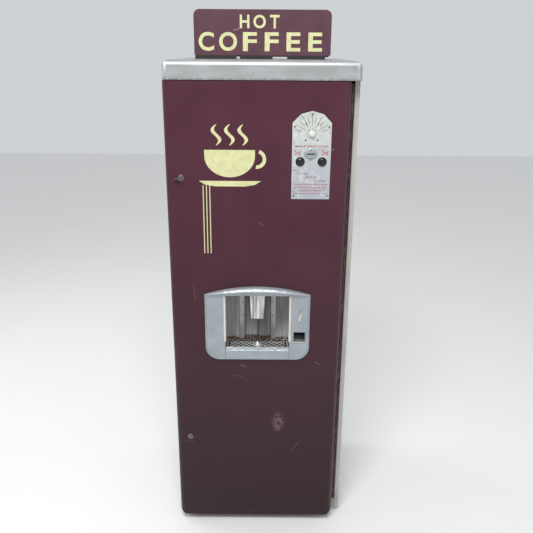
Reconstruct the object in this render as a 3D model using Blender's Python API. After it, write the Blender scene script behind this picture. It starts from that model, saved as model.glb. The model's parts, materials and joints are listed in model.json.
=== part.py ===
"""A free-standing hot coffee vending machine, modelled as its separate pieces.

X runs to the viewer's right, the front faces -Y, Z is up, and the feet stand on z = 0. Sizes are in metres.
The door hangs on the right and opens by turning anticlockwise, seen from above.
"""

import math

import bmesh
import bpy
from mathutils import Matrix, Vector

# ---------------------------------------------------------------- driving dimensions

SHEET = 0.0015  # steel sheet of the casing
GAP = 0.0003  # between pieces that touch

CABINET_WIDTH = 0.636
CABINET_TOP = 1.700  # top edge of the side panels, above the floor
CABINET_DEPTH = 0.490
FOOT_HEIGHT = 0.025
JAMB_WIDTH = 0.017  # front return of each side panel
REAR_RETURN = 0.015
HINGE_LIP = 0.025  # depth of the right jamb's inner lip, which the hinge is screwed to
PAN_HEIGHT = 0.040

CROWN_HEIGHT = 0.060
CROWN_SIDE_RADIUS = 0.030
CROWN_FRONT_RADIUS = 0.018

DOOR_DEPTH = 0.042
DOOR_TO_CABINET = 0.008
DOOR_TO_CROWN = 0.002
DOOR_TO_JAMB = 0.016
DOOR_EDGE_RADIUS = 0.022
DOOR_CORNER_RADIUS = 0.030
LINER_INSET = 0.0004

FRONT_REACH = 0.024  # what stands out furthest from the door's face: the hood
BACK_REACH = 0.024  # what stands out furthest from the cabinet's back: the water inlet

BARREL_RADIUS = 0.0035
PIN_RADIUS = 0.0015
PIN_CLEARANCE = 0.0004
KNUCKLES = 11

SIGN_WIDTH = 0.467
SIGN_HEIGHT = 0.147
SIGN_THICKNESS = 0.003
SIGN_RADIUS = 0.020
SIGN_LIFT = 0.012  # crown to the sign's lower edge
SIGN_SETBACK = 0.220  # door face to sign

BEZEL_LEFT, BEZEL_RIGHT = -0.199, 0.1745
BEZEL_BOTTOM = 0.724
BEZEL_SHOULDER = 0.978
BEZEL_RISE = 0.029  # the arch over the shoulders
BEZEL_RADIUS = 0.050
BEZEL_THICKNESS = 0.006
WINDOW_LEFT, WINDOW_RIGHT = -0.1275, 0.1025
WINDOW_BOTTOM, WINDOW_TOP = 0.7265, 0.973

CHAMBER_DEPTH = 0.100  # from the door's face
RECESS_LEFT, RECESS_RIGHT = -0.061, 0.036
RECESS_DEPTH = 0.015
CHAMBER_TOP = 1.010
CHAMBER_WALL = 0.0015
DRAIN_Z = 0.400  # lower end of the drain pipe
DRAIN_RADIUS = 0.010

TRAY_HEIGHT = 0.0265
TRAY_SIDE_PLAY = 0.0025
TRAY_OVER_SILL = 0.001  # the tray slides out over the lower edge of the window
TRAY_OVER_CHAMBER = 0.0025
GRILLE_THICKNESS = 0.003
APRON_HEIGHT = 0.035
APRON_REACH = 0.010
LEDGE_RISE = 0.009

SHROUD_TOP_WIDTH, SHROUD_BOTTOM_WIDTH = 0.060, 0.045
SHROUD_BOTTOM = 0.882

CUP_LEFT, CUP_RIGHT = 0.1165, 0.1605
CUP_BOTTOM, CUP_TOP = 0.789, 0.8345
CUP_WALL = 0.0015

LEVER_X, LEVER_Z = 0.140, 0.897
LEVER_LENGTH, LEVER_WIDTH = 0.048, 0.014
LEVER_TILT = math.radians(8)
CRANK = 0.020

PLATE_X = 0.1626
PLATE_WIDTH = 0.1265
PIVOT_BELOW_TOP = 0.165  # cabinet top to the selector's pivot
PLATE_BELOW_PIVOT = 0.214
SHOULDER_ABOVE_PIVOT = 0.035
FAN_RADIUS = 0.0725
PLATE_THICKNESS = 0.002
BUTTON_RADIUS = 0.01275
BUTTON_OFFSET = 0.036
BUTTON_BELOW_PIVOT = 0.0896
BUTTON_TRAVEL = 0.006
SLOT_BELOW_PIVOT = 0.064
SLOT_WIDTH, SLOT_HEIGHT = 0.0264, 0.0026

LOCK_INSET = 0.0515  # from the door's left edge
LOCK_ABOVE_BOTTOM = 0.3666
LOCK_BELOW_TOP = 0.311
CAM_LENGTH = 0.046

SHELF_BELOW_TOP = 0.380
TURRET_X = -0.130
TURRET_BACK = 0.280  # cabinet front to the turret's axis
TUBE_RADIUS, TUBE_WALL = 0.0395, 0.002
TUBE_PITCH_RADIUS = 0.085
TUBE_HEIGHT = 0.300
TUBES = 5
GEAR_MODULE = 0.002
GEAR_TEETH, PINION_TEETH = 40, 10

CHUTE_RADIUS = 0.047
CUP_DROP_X = -0.0125
CUP_DROP_BACK = 0.083  # door face to where a cup lands

TANK_RADIUS, TANK_HEIGHT = 0.090, 0.280
CANISTER_SHELF_DROP = 0.205  # upper shelf to canister shelf
CANISTER_FIRST_X = 0.010
CANISTER_PITCH = 0.090
CANISTER_WIDTH, CANISTER_DEPTH, CANISTER_HEIGHT = 0.086, 0.165, 0.130
CANISTER_BACK = 0.220  # cabinet front to the canisters' front
TROUGH_RADIUS = 0.0145
AUGER_RADIUS = 0.0125
NOZZLE_LENGTH = 0.045

BUCKET_RADIUS, BUCKET_HEIGHT = 0.120, 0.290
BUCKET_BACK = 0.135  # cabinet front to the bucket's axis

MECH_LEFT, MECH_RIGHT = 0.105, 0.225
MECH_DEPTH, MECH_HEIGHT = 0.110, 0.175
MECH_BELOW_SLOT = 0.056
COIN_CHUTE_WIDTH = 0.033
RETURN_LEFT, RETURN_RIGHT = 0.122, 0.156
CASH_LEFT, CASH_RIGHT = 0.165, 0.199
CHUTE_DEPTH = 0.026
CASH_BOX_WIDTH, CASH_BOX_DEPTH, CASH_BOX_HEIGHT = 0.140, 0.098, 0.120
CASH_BOX_Z = 0.500

# ---------------------------------------------------------------- places worked out from them

HALF = CABINET_WIDTH / 2
DOOR_FACE = FRONT_REACH - (FRONT_REACH + DOOR_DEPTH + DOOR_TO_CABINET + CABINET_DEPTH + BACK_REACH) / 2
DOOR_BACK = DOOR_FACE + DOOR_DEPTH
CABINET_FRONT = DOOR_BACK + DOOR_TO_CABINET
CABINET_BACK = CABINET_FRONT + CABINET_DEPTH
CROWN_BOTTOM = CABINET_TOP + GAP
CROWN_TOP = CABINET_TOP + CROWN_HEIGHT
DOOR_TOP = CABINET_TOP - DOOR_TO_CROWN
DOOR_LEFT = -HALF
DOOR_RIGHT = HALF - JAMB_WIDTH - DOOR_TO_JAMB
LINER_FRONT = DOOR_BACK - SHEET

HINGE_X = HALF - JAMB_WIDTH - DOOR_TO_JAMB / 2 + 0.0005
HINGE_Y = CABINET_FRONT - 0.0045
HINGE_BOTTOM = FOOT_HEIGHT + PAN_HEIGHT + 0.005
HINGE_TOP = CABINET_TOP - 0.010

PIVOT_Z = CABINET_TOP - PIVOT_BELOW_TOP
PLATE_FRONT = DOOR_FACE - GAP - PLATE_THICKNESS
BUTTON_Z = PIVOT_Z - BUTTON_BELOW_PIVOT
BUTTONS_X = (PLATE_X - BUTTON_OFFSET, PLATE_X + BUTTON_OFFSET)
SLOT_Z = PIVOT_Z - SLOT_BELOW_PIVOT
COIN_LEFT, COIN_RIGHT = PLATE_X - COIN_CHUTE_WIDTH / 2, PLATE_X + COIN_CHUTE_WIDTH / 2
MECH_TOP = SLOT_Z - MECH_BELOW_SLOT
MECH_BOTTOM = MECH_TOP - MECH_HEIGHT
LOCK_X = DOOR_LEFT + LOCK_INSET
LOCKS_Z = {"upper": CABINET_TOP - LOCK_BELOW_TOP, "lower": FOOT_HEIGHT + LOCK_ABOVE_BOTTOM}

SHELF_TOP = CABINET_TOP - SHELF_BELOW_TOP
TURRET_Y = CABINET_FRONT + TURRET_BACK
CENTRE_DISTANCE = GEAR_MODULE * (GEAR_TEETH + PINION_TEETH) / 2
PINION_Y = TURRET_Y + CENTRE_DISTANCE
CUP_DROP_Y = DOOR_FACE + CUP_DROP_BACK
TRAY_FLOOR = WINDOW_BOTTOM + TRAY_OVER_SILL
CHAMBER_FLOOR = TRAY_FLOOR - TRAY_OVER_CHAMBER - CHAMBER_WALL
TANK_X = HALF - TANK_RADIUS - 0.055
TANK_Y = CABINET_FRONT + 0.330
CANISTER_SHELF_TOP = SHELF_TOP - CANISTER_SHELF_DROP
CANISTER_FRONT = CABINET_FRONT + CANISTER_BACK
CANISTERS = {"coffee": 0, "cream": 1, "sugar": 2}
AUGER_Z = CANISTER_SHELF_TOP + GAP + 0.0195
BUCKET_Y = CABINET_FRONT + BUCKET_BACK
INSIDE = HALF - SHEET - GAP  # half-width for pieces between the side panels

# ---------------------------------------------------------------- shapes

PLANES = {"x": (1, 2, 0), "y": (0, 2, 1), "z": (0, 1, 2)}  # two drawing axes, then the extrusion's


def new_object(mesh_maker):
    """A scene object from the geometry that mesh_maker adds to an empty bmesh."""
    work = bmesh.new()
    mesh_maker(work)
    bmesh.ops.remove_doubles(work, verts=work.verts, dist=1e-6)
    bmesh.ops.recalc_face_normals(work, faces=work.faces)
    mesh = bpy.data.meshes.new("shape")
    work.to_mesh(mesh)
    work.free()
    obj = bpy.data.objects.new("shape", mesh)
    bpy.context.collection.objects.link(obj)
    return obj


def rings(loops, closed=False):
    """A skin over successive loops of points, with end caps unless the loops join up."""

    def make(work):
        made = [[work.verts.new(point) for point in loop] for loop in loops]
        pairs = list(zip(made, made[1:]))
        if closed:
            pairs.append((made[-1], made[0]))
        else:
            work.faces.new(made[0])
            work.faces.new(made[-1])
        for first, second in pairs:
            for i in range(len(first)):
                j = (i + 1) % len(first)
                work.faces.new((first[i], first[j], second[j], second[i]))

    return new_object(make)


def placed(axis, point, along):
    """The 3-D point of a drawing on the plane across this axis."""
    first, second, third = PLANES[axis]
    result = [0.0, 0.0, 0.0]
    result[first], result[second], result[third] = point[0], point[1], along
    return tuple(result)


def prism(points, axis, low, high):
    """An outline extruded along an axis."""
    return rings([[placed(axis, point, along) for point in points] for along in (low, high)])


def box(x, y, z):
    return prism([(x[0], y[0]), (x[1], y[0]), (x[1], y[1]), (x[0], y[1])], "z", *z)


def circle(centre, radius, sides=24, start=0.0, sweep=2 * math.pi):
    """Points round a circle, or along an arc of it when the sweep is less than a turn."""
    whole = abs(sweep) > 2 * math.pi - 1e-9
    count = sides if whole else sides + 1
    angles = [start + sweep * i / sides for i in range(count)]
    return [(centre[0] + radius * math.cos(a), centre[1] + radius * math.sin(a)) for a in angles]


def cylinder(centre, radius, axis, low, high, sides=24):
    return prism(circle(centre, radius, sides), axis, low, high)


def rounded(x, y, radii, steps=5):
    """A rectangle with its own radius at each corner: lower left, lower right, upper right, upper left."""
    corners = ((x[0], y[0], 1, 1), (x[1], y[0], -1, 1), (x[1], y[1], -1, -1), (x[0], y[1], 1, -1))
    points = []
    for number, ((corner_x, corner_y, to_x, to_y), radius) in enumerate(zip(corners, radii)):
        if radius <= 0:
            points.append((corner_x, corner_y))
            continue
        centre = (corner_x + to_x * radius, corner_y + to_y * radius)
        points += circle(centre, radius, steps, math.pi * (1 + number / 2), math.pi / 2)
    return points


def lathe(profile, centre, axis="z", sides=24):
    """A (radius, height) outline turned round an axis through the centre."""
    turns = [2 * math.pi * i / sides for i in range(sides)]
    loops = []
    for angle in turns:
        spoke = [(centre[0] + r * math.cos(angle), centre[1] + r * math.sin(angle), h) for r, h in profile]
        loops.append([placed(axis, point[:2], point[2]) for point in spoke])
    return rings(loops, closed=True)


def pipe(path, outer, inner, sides=12):
    """A tube along a bent path, each ring square to the bisector of its two runs."""
    points = [Vector(point) for point in path]
    loops_out, loops_in = [], []
    for i, point in enumerate(points):
        runs = [points[j + 1] - points[j] for j in (i - 1, i) if 0 <= j < len(points) - 1]
        along = sum((run.normalized() for run in runs), Vector()).normalized()
        turn = along.to_track_quat("Z", "Y")
        for loops, radius in ((loops_out, outer), (loops_in, inner)):
            ring = circle((0, 0), radius, sides)
            loops.append([tuple(point + turn @ Vector((u, v, 0))) for u, v in ring])
    return rings(loops_out + loops_in[::-1], closed=True)


def boolean(base, others, operation):
    """Applies one exact Boolean for each of the others, which are used up."""
    for other in others:
        modifier = base.modifiers.new(operation, "BOOLEAN")
        modifier.operation = operation
        modifier.object = other
    graph = bpy.context.evaluated_depsgraph_get()
    result = bpy.data.meshes.new_from_object(base.evaluated_get(graph))
    base.modifiers.clear()
    base.data = result
    for other in others:
        bpy.data.objects.remove(other)
    return base


def cut(base, *others):
    return boolean(base, others, "DIFFERENCE")


def join(base, *others):
    return boolean(base, others, "UNION")


def shared(base, *others):
    return boolean(base, others, "INTERSECT")


# ---------------------------------------------------------------- bodies, finishes and naming

BODIES = {}
FINISHES = {}


def add_body(name, pivot, parent=None):
    """An empty on a joint's axis, which carries everything that moves with the joint."""
    empty = bpy.data.objects.new(f"{name}_axis", None)
    empty.empty_display_size = 0.02
    bpy.context.collection.objects.link(empty)
    held = BODIES.get(parent)
    empty.location = Vector(pivot) - (held["pivot"] if held else Vector())
    if held:
        empty.parent = held["empty"]
    BODIES[name] = {"empty": empty, "pivot": Vector(pivot)}


def add_finish(name, colour, roughness, metallic):
    """A Principled material from an sRGB colour given as 0 to 255."""
    material = bpy.data.materials.new(name)
    material.use_nodes = True
    shader = material.node_tree.nodes["Principled BSDF"]
    linear = [((c / 255 + 0.055) / 1.055) ** 2.4 if c > 10 else c / 255 / 12.92 for c in colour]
    shader.inputs["Base Color"].default_value = (*linear, 1)
    shader.inputs["Roughness"].default_value = roughness
    shader.inputs["Metallic"].default_value = metallic
    material.diffuse_color = (*linear, 1)
    FINISHES[name] = material


def name_piece(obj, name, finish, body=None, smooth=False):
    """Names a finished solid, gives it its material and hangs it on its body."""
    obj.name = name
    obj.data.name = name
    obj.data.materials.clear()
    obj.data.materials.append(FINISHES[finish])
    if smooth:
        obj.data.shade_smooth()
        obj.data.set_sharp_from_angle(angle=math.radians(35))
    if body:
        obj.data.transform(Matrix.Translation(-BODIES[body]["pivot"]))
        obj.parent = BODIES[body]["empty"]
    return obj


# ---------------------------------------------------------------- cabinet


def side_panel(side, name):
    """A folded panel: a front jamb, the wall and a rear return. The right jamb has the hinge's lip."""
    inner, jamb, rear = HALF - SHEET, HALF - JAMB_WIDTH, HALF - REAR_RETURN
    plan = [
        (HALF, CABINET_FRONT), (jamb, CABINET_FRONT), (jamb, CABINET_FRONT + SHEET),
        (inner, CABINET_FRONT + SHEET), (inner, CABINET_BACK - SHEET),
        (rear, CABINET_BACK - SHEET), (rear, CABINET_BACK), (HALF, CABINET_BACK),
    ]
    panel = prism([(side * x, y) for x, y in plan], "z", FOOT_HEIGHT, CABINET_TOP)
    if side > 0:
        lip = box((jamb, jamb + SHEET), (CABINET_FRONT, CABINET_FRONT + HINGE_LIP), (HINGE_BOTTOM, HINGE_TOP))
        panel = join(panel, lip)
    name_piece(panel, name, "cabinet_paint")


SERVICE_X, SERVICE_Z = 0.200, 0.300
SERVICE_WIDTH, SERVICE_HEIGHT = 0.070, 0.150
GLAND_DROP, INLET_RISE = 0.040, 0.040


def back_panel():
    rear = CABINET_BACK - SHEET - GAP
    panel = box((-INSIDE, INSIDE), (rear - SHEET, rear), (FOOT_HEIGHT + GAP, CABINET_TOP - GAP))
    hole = box(
        (SERVICE_X - SERVICE_WIDTH / 2 + 0.008, SERVICE_X + SERVICE_WIDTH / 2 - 0.008),
        (rear - 0.01, rear + 0.01),
        (SERVICE_Z - SERVICE_HEIGHT / 2 + 0.008, SERVICE_Z + SERVICE_HEIGHT / 2 - 0.008),
    )
    name_piece(cut(panel, hole), "back_panel", "cabinet_paint")


def service_plate():
    """The plate behind the machine with its water union and its mains gland, both empty."""
    front = CABINET_BACK - SHEET
    plate = box(
        (SERVICE_X - SERVICE_WIDTH / 2, SERVICE_X + SERVICE_WIDTH / 2),
        (front, front + 0.003),
        (SERVICE_Z - SERVICE_HEIGHT / 2, SERVICE_Z + SERVICE_HEIGHT / 2),
    )
    inlet, gland = (SERVICE_X, SERVICE_Z + INLET_RISE), (SERVICE_X, SERVICE_Z - GLAND_DROP)
    tip = CABINET_BACK + BACK_REACH
    plate = join(
        plate,
        cylinder(inlet, 0.016, "y", front + 0.002, front + 0.010, 6),
        cylinder(inlet, 0.0105, "y", front + 0.008, tip),
        cylinder(gland, 0.014, "y", front + 0.002, front + 0.012, 6),
        cylinder(gland, 0.010, "y", front + 0.010, tip - 0.004),
    )
    plate = cut(
        plate,
        cylinder(inlet, 0.007, "y", front - 0.005, tip + 0.005, 16),
        cylinder(gland, 0.005, "y", front - 0.005, tip + 0.005, 16),
    )
    name_piece(plate, "service_plate", "brass", smooth=True)


def foot_places():
    inset = 0.060
    for x in (-HALF + inset, HALF - inset):
        for y in (CABINET_FRONT + inset, CABINET_BACK - inset):
            yield x, y


def base_pan():
    front, back = CABINET_FRONT + SHEET + GAP, CABINET_BACK - 2 * (SHEET + GAP)
    top = FOOT_HEIGHT + PAN_HEIGHT
    pan = box((-INSIDE, INSIDE), (front, back), (FOOT_HEIGHT, top))
    hollow = box(
        (SHEET - INSIDE, INSIDE - SHEET), (front + SHEET, back - SHEET), (FOOT_HEIGHT + SHEET, top + 0.01),
    )
    holes = [cylinder(place, 0.0056, "z", 0, top, 16) for place in foot_places()]
    name_piece(cut(pan, hollow, *holes), "base_pan", "cabinet_paint")


def levelling_feet():
    for number, place in enumerate(foot_places(), 1):
        foot = join(
            cylinder(place, 0.020, "z", 0, 0.008),
            cylinder(place, 0.005, "z", 0.006, FOOT_HEIGHT + 0.022, 16),
            cylinder(place, 0.009, "z", FOOT_HEIGHT - 0.0083, FOOT_HEIGHT - GAP, 6),
        )
        name_piece(foot, f"levelling_foot_{number}", "zinc", smooth=True)


def crown_solid(inset):
    """Where three views of the crown meet: plan, front and side, each drawn in by the inset."""
    side, front, back = HALF - inset, DOOR_FACE + inset, CABINET_BACK - inset
    low, high = CROWN_BOTTOM - (0.01 if inset else 0), CROWN_TOP - inset
    corner, roll = DOOR_EDGE_RADIUS - inset, CROWN_SIDE_RADIUS - inset
    plan = prism(rounded((-side, side), (front, back), (corner, corner, 0, 0)), "z", low, high)
    ahead = prism(rounded((-side, side), (low, high), (0, 0, roll, roll)), "y", front, back)
    nose = CROWN_FRONT_RADIUS - inset
    profile = prism(rounded((front, back), (low, high), (0, 0, 0, nose)), "x", -side, side)
    return shared(plan, ahead, profile)


def crown_top():
    name_piece(cut(crown_solid(0), crown_solid(SHEET)), "crown_top", "crown_metal", smooth=True)


SIGN_FEET = ((-0.231, -0.090), (-0.0775, 0.035), (0.085, 0.215))
SIGN_LEG_TOP = 0.030  # above the sign's lower edge


def sign():
    middle, bottom = DOOR_FACE + SIGN_SETBACK, CROWN_TOP + SIGN_LIFT
    side = (-SIGN_WIDTH / 2, SIGN_WIDTH / 2)
    outline = rounded(side, (bottom, bottom + SIGN_HEIGHT), (0, 0, SIGN_RADIUS, SIGN_RADIUS))
    front, back = middle - SIGN_THICKNESS / 2, middle + SIGN_THICKNESS / 2
    name_piece(prism(outline, "y", front, back), "sign_panel", "sign_face")
    behind = back + GAP
    leg = box(
        (side[0] + 0.006, side[1] - 0.006), (behind, behind + 0.0025), (bottom - 0.004, bottom + SIGN_LEG_TOP),
    )
    feet = [box(x, (front - 0.003, behind + 0.022), (CROWN_TOP + GAP, bottom - GAP)) for x in SIGN_FEET]
    name_piece(join(leg, *feet), "sign_bracket", "dark_steel")


# ---------------------------------------------------------------- door


def door_solid(inset, back):
    """The door's outer shape where its plan and its front view meet, drawn in by the inset."""
    left, right, front = DOOR_LEFT + inset, DOOR_RIGHT - inset, DOOR_FACE + inset
    low, high = FOOT_HEIGHT + inset, DOOR_TOP - inset
    edge, corner = DOOR_EDGE_RADIUS - inset, DOOR_CORNER_RADIUS - inset
    plan = prism(rounded((left, right), (front, back), (edge, edge, 0, 0)), "z", low, high)
    ahead = prism(rounded((left, right), (low, high), (corner, corner, 0, 0)), "y", front, back)
    return shared(plan, ahead)


def window_cutter(clearance, low, high):
    x = (WINDOW_LEFT - clearance, WINDOW_RIGHT + clearance)
    return box(x, (low, high), (WINDOW_BOTTOM - clearance, WINDOW_TOP + clearance))


def door_skin():
    skin = cut(door_solid(0, DOOR_BACK), door_solid(SHEET, DOOR_BACK + 0.01))
    low, high = DOOR_FACE - 0.01, DOOR_FACE + 0.01
    holes = [
        window_cutter(0.0, low, high),
        box((CUP_LEFT - GAP, CUP_RIGHT + GAP), (low, high), (CUP_BOTTOM - GAP, CUP_TOP + GAP)),
        cylinder((LEVER_X, LEVER_Z), 0.0045, "y", low, high, 16),
        cylinder((PLATE_X, PIVOT_Z), 0.0055, "y", low, high, 16),
        box((PLATE_X - 0.0155, PLATE_X + 0.0155), (low, high), (SLOT_Z - 0.004, SLOT_Z + 0.004)),
    ]
    holes += [cylinder((x, BUTTON_Z), 0.0160, "y", low, high) for x in BUTTONS_X]
    holes += [cylinder((LOCK_X, z), 0.0090, "y", low, high) for z in LOCKS_Z.values()]
    name_piece(cut(skin, *holes), "door_skin", "door_paint", "door", smooth=True)


CUP_TAIL = 0.021  # how far the return cup reaches behind the liner
BOX_LEFT = 0.120
BOX_FRONT = DOOR_BACK + 0.0025


def cash_bracket():
    """The open tray, welded to the liner, that the cash box stands in."""
    low, lip = CASH_BOX_Z - GAP - SHEET, 0.012
    x = (BOX_LEFT - SHEET - 0.001, BOX_LEFT + CASH_BOX_WIDTH + SHEET + 0.001)
    y = (DOOR_BACK - 0.001, BOX_FRONT + CASH_BOX_DEPTH + SHEET + 0.001)
    tray = box(x, y, (low, CASH_BOX_Z + lip))
    hollow = box(
        (x[0] + SHEET, x[1] - SHEET), (DOOR_BACK, y[1] - SHEET), (low + SHEET, CASH_BOX_Z + lip + 0.01),
    )
    return cut(tray, hollow)


def liner_window_top():
    """High enough for the bowl's spout, and for the cup chute where it slants back past the door."""
    over_spout = SPOUT_Z + SPOUT_RADIUS + 0.0087
    reach = DOOR_BACK + 0.001 - (CHUTE_LANDING[1] - CHUTE_RADIUS)
    lean = (DROP_PLACE[1] - CHUTE_LANDING[1]) / (SHELF_TOP - CHUTE_BEND)
    return max(over_spout, CHUTE_BEND + max(0, reach) / lean)


def door_liner():
    """The flat inner sheet of the door, with a window for each piece that passes through it."""
    left, right = DOOR_LEFT + SHEET + LINER_INSET, DOOR_RIGHT - SHEET - LINER_INSET
    low, high = FOOT_HEIGHT + SHEET + LINER_INSET, DOOR_TOP - SHEET - LINER_INSET
    corner = DOOR_CORNER_RADIUS
    liner = prism(rounded((left, right), (low, high), (corner, corner, 0, 0)), "y", LINER_FRONT, DOOR_BACK)
    front, back = LINER_FRONT - 0.01, DOOR_BACK + 0.01
    holes = [
        box(
            (WINDOW_LEFT - 0.003, WINDOW_RIGHT + 0.003), (front, back),
            (CHAMBER_FLOOR - 0.012, liner_window_top()),
        ),
        box((CUP_LEFT - 0.002, CUP_RIGHT + 0.002), (front, back), (CUP_BOTTOM - 0.002, CUP_TOP + 0.002)),
        box((PLATE_X - 0.018, PLATE_X + 0.018), (front, back), (SLOT_Z - 0.062, SLOT_Z + 0.012)),
        box(
            (LEVER_X + CRANK - 0.006, LEVER_X + CRANK + 0.006), (front, back),
            (MECH_BOTTOM + 0.01, MECH_BOTTOM + 0.05),
        ),
    ]
    holes += [cylinder((LOCK_X, z), 0.0090, "y", front, back) for z in LOCKS_Z.values()]
    name_piece(join(cut(liner, *holes), cash_bracket()), "door_liner", "zinc", "door")


LEAF = 0.0015
DOOR_LEAF_DEPTH = 0.020


def hinge():
    """A piano hinge up the whole right edge: two leaves with alternate knuckles, and one pin."""
    pitch = (HINGE_TOP - HINGE_BOTTOM) / KNUCKLES
    bore = PIN_RADIUS + PIN_CLEARANCE
    jamb_face = HALF - JAMB_WIDTH - GAP
    door_face = DOOR_RIGHT + GAP
    places = {
        "hinge_leaf_cabinet": ((jamb_face - LEAF, jamb_face), (HINGE_Y - 0.001, HINGE_Y + 0.026), None, 0),
        "hinge_leaf_door": (
            (door_face, door_face + LEAF), (HINGE_Y - DOOR_LEAF_DEPTH, HINGE_Y - 0.0035), "door", 1,
        ),
    }
    for name, (x, y, body, first) in places.items():
        leaf = box(x, y, (HINGE_BOTTOM, HINGE_TOP))
        knuckles = []
        for number in range(first, KNUCKLES, 2):
            low = HINGE_BOTTOM + number * pitch + 2 * GAP
            high = low + pitch - 4 * GAP
            reach = (min(x[0], HINGE_X), max(x[1], HINGE_X))
            depth = (HINGE_Y - 0.001, HINGE_Y + 0.001) if body is None else (HINGE_Y - 0.0045, HINGE_Y - 0.0020)
            knuckles.append(cylinder((HINGE_X, HINGE_Y), BARREL_RADIUS, "z", low, high, 8))
            knuckles.append(box(reach, depth, (low, high)))
        leaf = join(leaf, *knuckles)
        leaf = cut(leaf, cylinder((HINGE_X, HINGE_Y), bore, "z", HINGE_BOTTOM - 0.01, HINGE_TOP + 0.01, 8))
        name_piece(leaf, name, "hinge_steel", body)
    pin = cylinder((HINGE_X, HINGE_Y), PIN_RADIUS, "z", HINGE_BOTTOM, HINGE_TOP, 8)
    name_piece(pin, "hinge_pin", "hinge_steel", smooth=True)


def ring_profile(inner, steps):
    """A closed lathe outline from (outer radius, y from, y to) steps, with one bore right through."""
    outline = [(inner, steps[0][1])]
    for radius, low, high in steps:
        outline += [(radius, low), (radius, high)]
    return outline + [(inner, steps[-1][2])]


LOCK_BORE, LOCK_CORE = 0.0064, 0.0058
CAM_Y = 0.0035  # cabinet front to the cam
CAM_THICKNESS = 0.002


def locks():
    """Each lock has a fixed housing and a turning plug. The cams rest pointing up, unlocked."""
    cam_front = CABINET_FRONT + CAM_Y
    for level, z in LOCKS_Z.items():
        centre = (LOCK_X, z)
        housing = lathe(
            ring_profile(LOCK_BORE, [
                (0.0110, DOOR_FACE - 0.0035, DOOR_FACE - GAP),
                (0.0080, DOOR_FACE - GAP, cam_front - 0.001),
            ]),
            centre, "y",
        )
        name_piece(housing, f"lock_housing_{level}", "chrome", "door", smooth=True)
        body = f"lock_{level}"
        face = DOOR_FACE - 0.0035 - GAP
        plug = join(
            cylinder(centre, 0.0085, "y", face - 0.0022, face),
            cylinder(centre, LOCK_CORE, "y", face - 0.001, cam_front + CAM_THICKNESS + 0.004, 16),
        )
        if level == "upper":
            wing = box((LOCK_X - 0.021, LOCK_X + 0.007), (face - 0.012, face - 0.001), (z - 0.0015, z + 0.0015))
            plug = join(plug, wing)
        else:
            keyway = box(
                (LOCK_X - 0.004, LOCK_X + 0.004), (face - 0.004, face - 0.0012), (z - 0.0008, z + 0.0008),
            )
            plug = cut(plug, keyway)
        half_width = 0.0085
        outline = circle(centre, half_width, 10, math.pi, math.pi)
        outline += circle((LOCK_X, z + CAM_LENGTH - half_width), half_width, 10, 0, math.pi)
        cam = prism(outline, "y", cam_front, cam_front + CAM_THICKNESS)
        name_piece(join(plug, cam), f"lock_plug_{level}", "chrome", body, smooth=True)


# ---------------------------------------------------------------- cup station

HOOD_MARGIN = 0.022  # hood beyond the window on each side
HOOD_INSET = 0.0015
HOOD_LIP = 0.014  # window to the hood's lower edge


def arch(left, right, bottom, shoulder, rise, steps=16):
    """An outline with square feet and one shallow arc over its top."""
    half = (right - left) / 2
    radius = (half * half + rise * rise) / (2 * rise)
    spread = math.asin(half / radius)
    centre = ((left + right) / 2, shoulder + rise - radius)
    return [(left, bottom), (right, bottom)] + circle(centre, radius, steps, math.pi / 2 - spread, 2 * spread)


def delivery_bezel():
    """The cast surround of the cup station, with its hood and the holes of the coin return."""
    front, back = DOOR_FACE - BEZEL_THICKNESS, DOOR_FACE - GAP
    outline = arch(BEZEL_LEFT, BEZEL_RIGHT, BEZEL_BOTTOM, BEZEL_SHOULDER, BEZEL_RISE)
    low_corners = rounded(
        (BEZEL_LEFT, BEZEL_RIGHT), (BEZEL_BOTTOM, BEZEL_SHOULDER), (BEZEL_RADIUS,) * 2 + (0, 0), 8,
    )
    bezel = prism(low_corners[:-2] + outline[2:], "y", front, back)
    lower_arch = arch(BEZEL_LEFT, BEZEL_RIGHT, BEZEL_BOTTOM, BEZEL_SHOULDER - HOOD_INSET, BEZEL_RISE)
    hood = prism(lower_arch, "y", DOOR_FACE - FRONT_REACH, back - HOOD_INSET)
    lip = WINDOW_TOP + HOOD_LIP
    high_z = BEZEL_SHOULDER + BEZEL_RISE + 0.010
    side_view = [
        (DOOR_FACE - FRONT_REACH, lip), (back, lip), (back, high_z), (front - 0.002, high_z),
        (front - 0.002, BEZEL_SHOULDER + BEZEL_RISE - 0.005), (DOOR_FACE - FRONT_REACH + 0.002, lip + 0.010),
    ]
    wedge = prism(side_view, "x", WINDOW_LEFT - HOOD_MARGIN, WINDOW_RIGHT + HOOD_MARGIN)
    bezel = join(bezel, shared(hood, wedge))
    low, high = DOOR_FACE - FRONT_REACH - 0.01, DOOR_FACE + 0.01
    bezel = cut(
        bezel,
        window_cutter(0.0, front - 0.01, high),
        box((CUP_LEFT - GAP, CUP_RIGHT + GAP), (low, high), (CUP_BOTTOM - GAP, CUP_TOP + GAP)),
        cylinder((LEVER_X, LEVER_Z), 0.0045, "y", low, high, 16),
    )
    name_piece(bezel, "delivery_bezel", "cast_metal", "door", smooth=True)


CHAMBER_FRONT = 0.002  # behind the door's face


def chamber_box(inset, top):
    """The chamber's block with its middle recess, drawn in by the inset on every closed side."""
    left, right = WINDOW_LEFT - CHAMBER_WALL + inset, WINDOW_RIGHT + CHAMBER_WALL - inset
    front = DOOR_FACE + CHAMBER_FRONT - (0.01 if inset else 0)
    back = DOOR_FACE + CHAMBER_DEPTH + CHAMBER_WALL - inset
    z = (CHAMBER_FLOOR + inset, top)
    recess = box((RECESS_LEFT - CHAMBER_WALL + inset, RECESS_RIGHT + CHAMBER_WALL - inset),
                 (front, back + RECESS_DEPTH), z)
    return join(box((left, right), (front, back), z), recess)


DRAIN_Y = 0.070  # door face to the drain


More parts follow.
